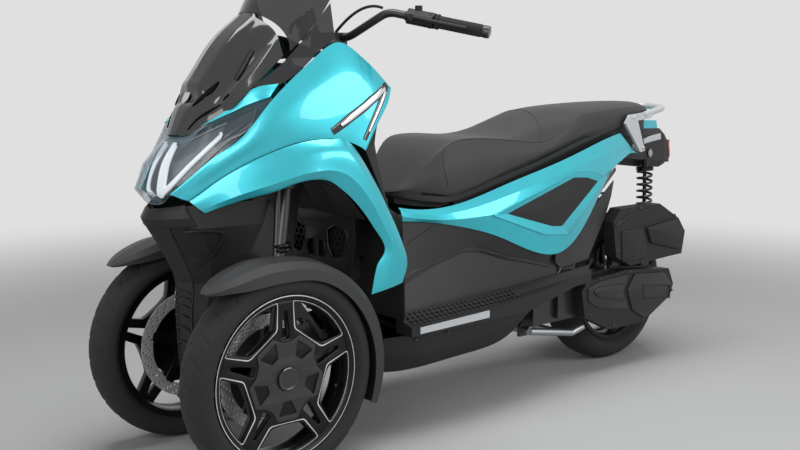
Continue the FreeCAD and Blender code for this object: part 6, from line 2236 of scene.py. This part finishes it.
@dataclass
class Silencer(SubAssembly):
    """Bands, heat shield and outlet of the silencer.

    Attributes:
        front: Front end of its axis.
        rear: Rear end.
        radius: Radius of the can.
        bands: Where the two bands sit along it.
        shield: Where the heat shield starts, and its length, as shares.
        shield_lifts: Height of the shield's outer and inner face over the can.
        shield_half: Half the shield's widest angle in degrees.
        shield_turn: How far its middle is turned up, in radians.
        shield_steps: Points along the shield and across it.
    """

    front: Point = (-0.560, -0.186, 0.300)
    rear: Point = (-1.000, -0.188, 0.380)
    radius: float = 0.056
    bands: Pair = (0.20, 0.88)
    shield: Pair = (0.26, 0.56)
    shield_lifts: Pair = (0.0100, 0.0075)
    shield_half: float = 58.0
    shield_turn: float = 0.25
    shield_steps: tuple[int, int] = (24, 12)

    def build(self) -> None:
        """Makes the bands, the shield and the outlet."""
        front, rear = Vector(self.front), Vector(self.rear)
        axis, r = rear - front, self.radius
        along = axis.normalized()
        rings = Shape()
        band = (
            (-0.008, r * 0.9), (-0.008, r + 0.0012), (-0.006, r + 0.0030), (0.006, r + 0.0030),
            (0.008, r + 0.0012), (0.008, r * 0.9)
        )
        for share in self.bands:
            rings.add(turned(band, front + axis * share, along, 48))
        self.piece("silencer_bands", rings, Finishes.STEEL)
        self.piece("silencer_shield", self._shield(front, axis), Finishes.BLACK_STEEL)
        mouth = ((-0.004, 0.020), (0.012, 0.020), (0.014, 0.0185), (0.012, 0.0165), (-0.004, 0.0165))
        self.piece("silencer_outlet", turned(mouth, rear + along * 0.004, along, 32), Finishes.STEEL)

    def _shield(self, front: Vector, axis: Vector) -> Shape:
        """The curved shield, narrower at its ends.

        Args:
            front: Front end of the can's axis.
            axis: From there to its rear end.

        Returns:
            The shield.
        """
        side = axis.cross(Vector((0, 0, 1))).normalized()
        top = side.cross(axis).normalized()
        out = side if side.y < 0 else -side
        steps, across = self.shield_steps
        rows = []
        for step in range(steps + 1):
            foot = front + axis * (self.shield[0] + self.shield[1] * step / steps)
            half = math.radians(self.shield_half * math.sin(math.pi * (0.12 + 0.76 * step / steps)) ** 0.5)
            angles = [half * (2 * number / across - 1) + self.shield_turn for number in range(across + 1)]
            outer, inner = (
                [foot + around(out, top, angle) * (self.radius + lift) for angle in angles]
                for lift in self.shield_lifts
            )
            rows.append(outer + inner[::-1])
        return Shape().net(rows, closed=True, capped=True)


@dataclass
class BrakeHoses(SubAssembly):
    """The two brake hoses that loop from the bar to the cowl.

    Attributes:
        route: Control points of the left one.
        thick: Its diameter.
    """

    route: tuple[Point, ...] = ((0.368, 0.158, 1.190), (0.404, 0.112, 1.214), (0.440, 0.044, 1.1264))
    thick: float = 0.008

    def build(self) -> None:
        """Makes both hoses as free cords."""
        for side in BOTH_SIDES:
            name = f"brake_hose_{side.name.lower()}"
            data = bpy.data.curves.new(name, "CURVE")
            data.dimensions = "3D"
            data.bevel_depth = self.thick / 2
            data.bevel_resolution = 3
            data.resolution_u = 24
            data.use_fill_caps = True
            line = data.splines.new("NURBS")
            line.points.add(len(self.route) - 1)
            for point, place in zip(line.points, self.route):
                point.co = (*on_side(place, side), 1.0)
            line.order_u = 3
            line.use_endpoint_u = True
            data.materials.append(Finishes.GRIP.material())
            hose = placed(name, data)
            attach(hose, "handlebar")
            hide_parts("brake_hoses")


@dataclass
class Fasteners:
    """The screws, bolts and studs that show.

    Attributes:
        cover: Places of the transmission cover's screws, forward and upward.
        cover_face: Where their heads sit to the left.
        box: Places of the air box's screws.
        box_face: Where their heads sit.
        rail: Places of the grab rail's bolts.
        rail_face: Where their heads sit.
        pan: Places forward of the belly pan's screws.
        pan_face: Place to the left and upward of their heads.
        stud_rows: Rows of studs along a footboard.
        stud_first: Where the first row lies.
        stud_step: From one row to the next.
        stud_columns: Places to the left of the columns of studs.
        stud_facing: The way that the studs face.
        bend: Where the footboard starts to narrow and rise.
    """

    cover: tuple[Pair, ...] = (
        (-0.492, 0.318), (-0.560, 0.332), (-0.720, 0.338), (-0.880, 0.322), (-0.958, 0.240), (-0.800, 0.156),
        (-0.640, 0.160), (-0.520, 0.214)
    )
    cover_face: float = 0.1665
    box: tuple[Pair, ...] = (
        (-0.625, 0.420), (-0.630, 0.515), (-0.745, 0.552), (-0.935, 0.512), (-0.760, 0.369)
    )
    box_face: float = 0.1855
    rail: tuple[Pair, ...] = ((-0.796, 0.752), (-0.742, 0.858))
    rail_face: float = 0.1475
    pan: tuple[float, ...] = (0.30, 0.18, 0.06, -0.06)
    pan_face: Pair = (0.2195, 0.2785)
    stud_rows: int = 24
    stud_first: float = 0.318
    stud_step: float = 0.0185
    stud_columns: tuple[float, ...] = (0.192, 0.206, 0.220, 0.234)
    stud_facing: Point = (0.0, 0.40, 0.92)
    bend: float = 0.05

    def build(self) -> None:
        """Sets out the screws, bolts and studs."""
        side = (0.0, 1.0, 0.0)
        heads = ((self.cover, self.cover_face), (self.box, self.box_face))
        left = [(Vector((x, face, z)), Vector(side)) for spots, face in heads for x, z in spots]
        Repeats(
            "cover_screws", "chassis", Finishes.BLACK_STEEL, left, radius=0.0055, height=0.0040, sides=6
        ).build()
        rail = mirrored_spots([((x, self.rail_face, z), side) for x, z in self.rail])
        Repeats("rail_bolts", "chassis", Finishes.STEEL, rail, radius=0.0062, height=0.0050, sides=6).build()
        studs = mirrored_spots([(place, self.stud_facing) for place in self._studs()])
        Repeats(
            "footboard_studs", "chassis", Finishes.GRIP, studs, radius=0.0046, height=0.0030, sides=16
        ).build()
        pan = mirrored_spots([((x, *self.pan_face), side) for x in self.pan])
        Repeats(
            "belly_screws", "chassis", Finishes.BLACK_STEEL, pan, radius=0.0045, height=0.0030, sides=20
        ).build()

    def _studs(self) -> list[Point]:
        """Places of the left footboard's studs, on its slanting top.

        Returns:
            The places, row by row from the front.
        """
        made = []
        for row in range(self.stud_rows):
            x = self.stud_first - row * self.stud_step
            past = max(0.0, self.bend - x)
            share = (0.340 - x) / 0.29 if x > self.bend else 1.0
            for across in self.stud_columns:
                if past and across > 0.238 - past * 0.07:
                    continue
                top = (0.352 + 0.006 * share) - (across - 0.180) / 0.066 * 0.029 + past * 0.045
                made.append((x, across, top + 0.0006))
        return made


@dataclass
class RearShocks(SubAssembly):
    """The two rear dampers: shrouded tube, bare rod and black coil spring.

    Attributes:
        foot: Lower eye of the left one.
        head: Upper eye.
        coil_radius: To the middle of the wire.
        wire_radius: The wire.
        turns: Turns of the spring.
        spring_ends: Where the spring starts and ends, as shares of the length.
    """

    foot: Point
    head: Point
    coil_radius: float = 0.0245
    wire_radius: float = 0.0044
    turns: float = 11.0
    spring_ends: Pair = (0.13, 0.87)

    def build(self) -> None:
        """Makes both dampers and springs."""
        foot, head = Vector(self.foot), Vector(self.head)
        along = head - foot
        length = along.length
        axis = along.normalized()
        side = axis.orthogonal().normalized()
        other = axis.cross(side)
        low, high = (length * share for share in self.spring_ends)
        count = round(self.turns * 20)
        coil = []
        for number in range(count + 1):
            share = number / count
            angle = math.tau * self.turns * share
            reach = self.coil_radius if 0 < number < count else 0.0
            coil.append(foot + axis * (low + (high - low) * share) + around(side, other, angle) * reach)
        spring = rod(coil, self.wire_radius, 8)
        tube = self.coil_radius * 0.62
        steps = (
            (0.0, 0.009), (0.09, 0.009), (0.095, 0.030), (0.125, 0.030), (0.13, tube), (0.50, tube),
            (0.505, 0.0065), (0.865, 0.0065), (0.87, 0.030), (0.90, 0.030), (0.905, 0.011), (0.985, 0.011)
        )
        damper = turned([(length * share, radius) for share, radius in steps], foot, along)
        self.twins("rear_springs", spring, Finishes.BLACK_STEEL, stands_for=["rear_shocks"])
        self.twins("rear_damper_tubes", damper, Finishes.RIM)


@dataclass(frozen=True)
class SeatStation:
    """One cross-section of the seat.

    Attributes:
        along: Its x.
        bottom: Height of the lower edge.
        band: Height of the band above the lower edge.
        edge: Height of the crease between side and top.
        top: Height on the centre line.
        foot: Half width at the bottom.
        side: Half width where it is widest.
        crease: Half width at the crease.
    """

    along: float
    bottom: float
    band: float
    edge: float
    top: float
    foot: float
    side: float
    crease: float

    def section(self) -> list[Vector]:
        """Left half of the section, from the bottom's centre to the top's.

        Returns:
            The section's corners.
        """
        middle = self.band + (self.edge - self.band) * 0.45
        rise = self.top - self.edge
        places = (
            (0.0, self.bottom + 0.002),
            (self.foot * 0.6, self.bottom + 0.001),
            (self.foot - 0.006, self.bottom),
            (self.foot, self.bottom + 0.004),
            (self.foot + 0.003, self.band - 0.004),
            (self.side - 0.002, self.band + 0.003),
            (self.side, middle),
            (self.crease + 0.006, self.edge - (self.edge - middle) * 0.3),
            (self.crease, self.edge),
            (self.crease * 0.86, self.edge + rise * 0.42),
            (self.crease * 0.58, self.edge + rise * 0.78),
            (self.crease * 0.28, self.edge + rise * 0.97),
            (0.0, self.top),
        )
        return [Vector((self.along, across, up)) for across, up in places]


@dataclass
class Seat(SubAssembly):
    """The one-piece stepped seat: a crowned, padded shell with its crease and seams.

    Attributes:
        stations: Cross-sections from front to rear.
        steps: Points between two stations.
        well_inset: Thickness of the dark walls under the seat.
        well_depth: Their height.
        well_first: Number of the station where they start.
        crease: Row of the section where the side meets the top.
        band_row: Where the dark band runs between the rows.
        seam: Half width of a seam.
        seam_lift: Its height over the cover.
    """

    stations: tuple[SeatStation, ...] = (
        SeatStation(0.272, 0.664, 0.672, 0.676, 0.680, 0.030, 0.034, 0.026),
        SeatStation(0.252, 0.660, 0.674, 0.684, 0.692, 0.078, 0.084, 0.074),
        SeatStation(0.215, 0.653, 0.675, 0.712, 0.728, 0.104, 0.112, 0.098),
        SeatStation(0.170, 0.646, 0.670, 0.758, 0.774, 0.126, 0.134, 0.118),
        SeatStation(0.128, 0.642, 0.666, 0.796, 0.806, 0.142, 0.150, 0.134),
        SeatStation(0.080, 0.645, 0.667, 0.818, 0.824, 0.148, 0.158, 0.142),
        SeatStation(0.000, 0.662, 0.683, 0.822, 0.825, 0.152, 0.162, 0.146),
        SeatStation(-0.100, 0.686, 0.709, 0.815, 0.821, 0.154, 0.163, 0.147),
        SeatStation(-0.180, 0.705, 0.728, 0.806, 0.838, 0.154, 0.163, 0.148),
        SeatStation(-0.250, 0.721, 0.744, 0.799, 0.864, 0.153, 0.161, 0.148),
        SeatStation(-0.320, 0.738, 0.761, 0.802, 0.886, 0.150, 0.158, 0.147),
        SeatStation(-0.395, 0.757, 0.780, 0.832, 0.896, 0.146, 0.155, 0.146),
        SeatStation(-0.470, 0.777, 0.799, 0.868, 0.900, 0.142, 0.150, 0.142),
        SeatStation(-0.560, 0.797, 0.818, 0.879, 0.904, 0.136, 0.141, 0.134),
        SeatStation(-0.680, 0.821, 0.838, 0.885, 0.907, 0.124, 0.128, 0.120),
        SeatStation(-0.790, 0.843, 0.858, 0.887, 0.907, 0.110, 0.114, 0.104),
        SeatStation(-0.870, 0.859, 0.870, 0.885, 0.904, 0.092, 0.096, 0.086),
        SeatStation(-0.912, 0.867, 0.875, 0.882, 0.896, 0.066, 0.068, 0.060),
        SeatStation(-0.925, 0.872, 0.877, 0.880, 0.886, 0.034, 0.035, 0.030),
    )
    steps: int = 4
    well_inset: float = 0.0022
    well_depth: float = 0.055
    well_first: int = 5
    crease: int = 8
    band_row: float = 4.55
    seam: float = 0.0013
    seam_lift: float = 0.0012

    def rows(self) -> list[list[Vector]]:
        """Smooth left half-sections from front to rear.

        Returns:
            One row of points for each place along the seat.
        """
        sections = [station.section() for station in self.stations]
        lines = [smooth_line(line, self.steps) for line in zip(*sections)]
        return [smooth_line(row, 3) for row in zip(*lines)]

    def _skirts(self) -> None:
        """Makes the dark walls that close the gap between seat and side panels."""
        rows, inner, drop = [], self.well_inset, self.well_depth
        for station in self.stations[self.well_first : -1]:
            across, top = station.foot * 0.91, station.bottom - 0.0045
            section = ((0, top), (inner, top), (inner, top - drop), (0, top - drop))
            rows.append([Vector((station.along, across - inset, height)) for inset, height in section])
        rows = [list(row) for row in zip(*[smooth_line(list(line), 3) for line in zip(*rows)])]
        self.twins("seat_well_walls", Shape().net(rows, closed=True, capped=True), Finishes.MATTE_BLACK)

    def build(self) -> None:
        """Makes the cover and its seams."""
        self._skirts()
        whole = []
        for row in self.rows():
            other = [Vector((place.x, -place.y, place.z)) for place in reversed(row[1:-1])]
            whole.append(row + other)
        cover = self.piece(
            "seat_cover", Shape().net(whole, closed=True, capped=True), Finishes.SEAT, "seat", ["seat"],
            smooth=60
        )
        sections = zip(*[station.section() for station in self.stations])
        hide = Surface([list(line) for line in sections], Vector((-0.3, 0.0, 0.76)))
        last = len(hide.rows) - 1
        piping = (
            [(t, self.crease) for t in (0.24, 0.34, 0.45, 0.55, 0.66, 0.78, 0.90, 0.98)],
            ((0.232, 8.1), (0.222, 7.0), (0.222, 6.2), (0.236, 5.4)),
            ((0.52, self.crease), (0.55, 9.5), (0.565, 11.0), (0.57, last)),
        )
        seams = Shape()
        for line in piping:
            seams.add(hide.ribbon([(t, row / last) for t, row in line], self.seam, self.seam_lift))
        self.twins("seat_seams", seams, Finishes.SEAT, body="seat")
        ways = (0.14, 0.2, 0.26, 0.34, 0.45, 0.55, 0.66, 0.78, 0.88)
        halves = (0.006, 0.009, 0.010, 0.010, 0.010, 0.010, 0.009, 0.007, 0.003)
        band = hide.ribbon([(t, self.band_row / last) for t in ways], halves, self.seam_lift)
        self.twins("seat_edge_band", band, Finishes.MATTE_BLACK, body="seat")


def main() -> None:
    """Builds the studio and every sub-assembly, in order."""
    logging.basicConfig(level=logging.INFO, format="%(message)s")
    bpy.context.scene.view_settings.view_transform = "Standard"
    Studio().build()
    BrakeHoses().build()
    dress_frame()
    fronts = [(side, side.name.lower(), on_side(FRONT_WHEEL, side)) for side in BOTH_SIDES]
    for _, label, centre in fronts:
        Tyre(
            f"front_tyre_{label}", f"wheel_front_{label}", centre, radius=0.270, width=0.110, bead=0.2033,
            foot=0.0367
        ).build()
    Tyre("rear_tyre", "wheel_rear", REAR_WHEEL, radius=0.257, width=0.140, bead=0.1783, foot=0.0467).build()
    for side, label, centre in fronts:
        Wheel(f"front_rim_{label}", f"front_disc_{label}", f"wheel_front_{label}", centre, side.value).build()
    Wheel(
        "rear_rim", "", "wheel_rear", REAR_WHEEL, side=-1, seat=0.178, half_width=0.052, window_outer=0.162,
        window_inner=0.096, striped=False
    ).build()
    shocks = RearShocks(foot=(-0.870, 0.106, 0.380), head=(-0.862, 0.106, 0.712))
    front = (FrontPanels(), NoseCowl(), Headlamp(), ChinDetails(), RadiatorPanel())
    middle = (SidePanelFrames(), DriveCovers(), TailDetails(), TunnelDetails(), Handgrips())
    rest = (FrontRunningGear(), Silencer(), shocks, Seat(), Fasteners())
    for assembly in (*front, *middle, *rest):
        assembly.build()


if __name__ == "__main__":
    main()
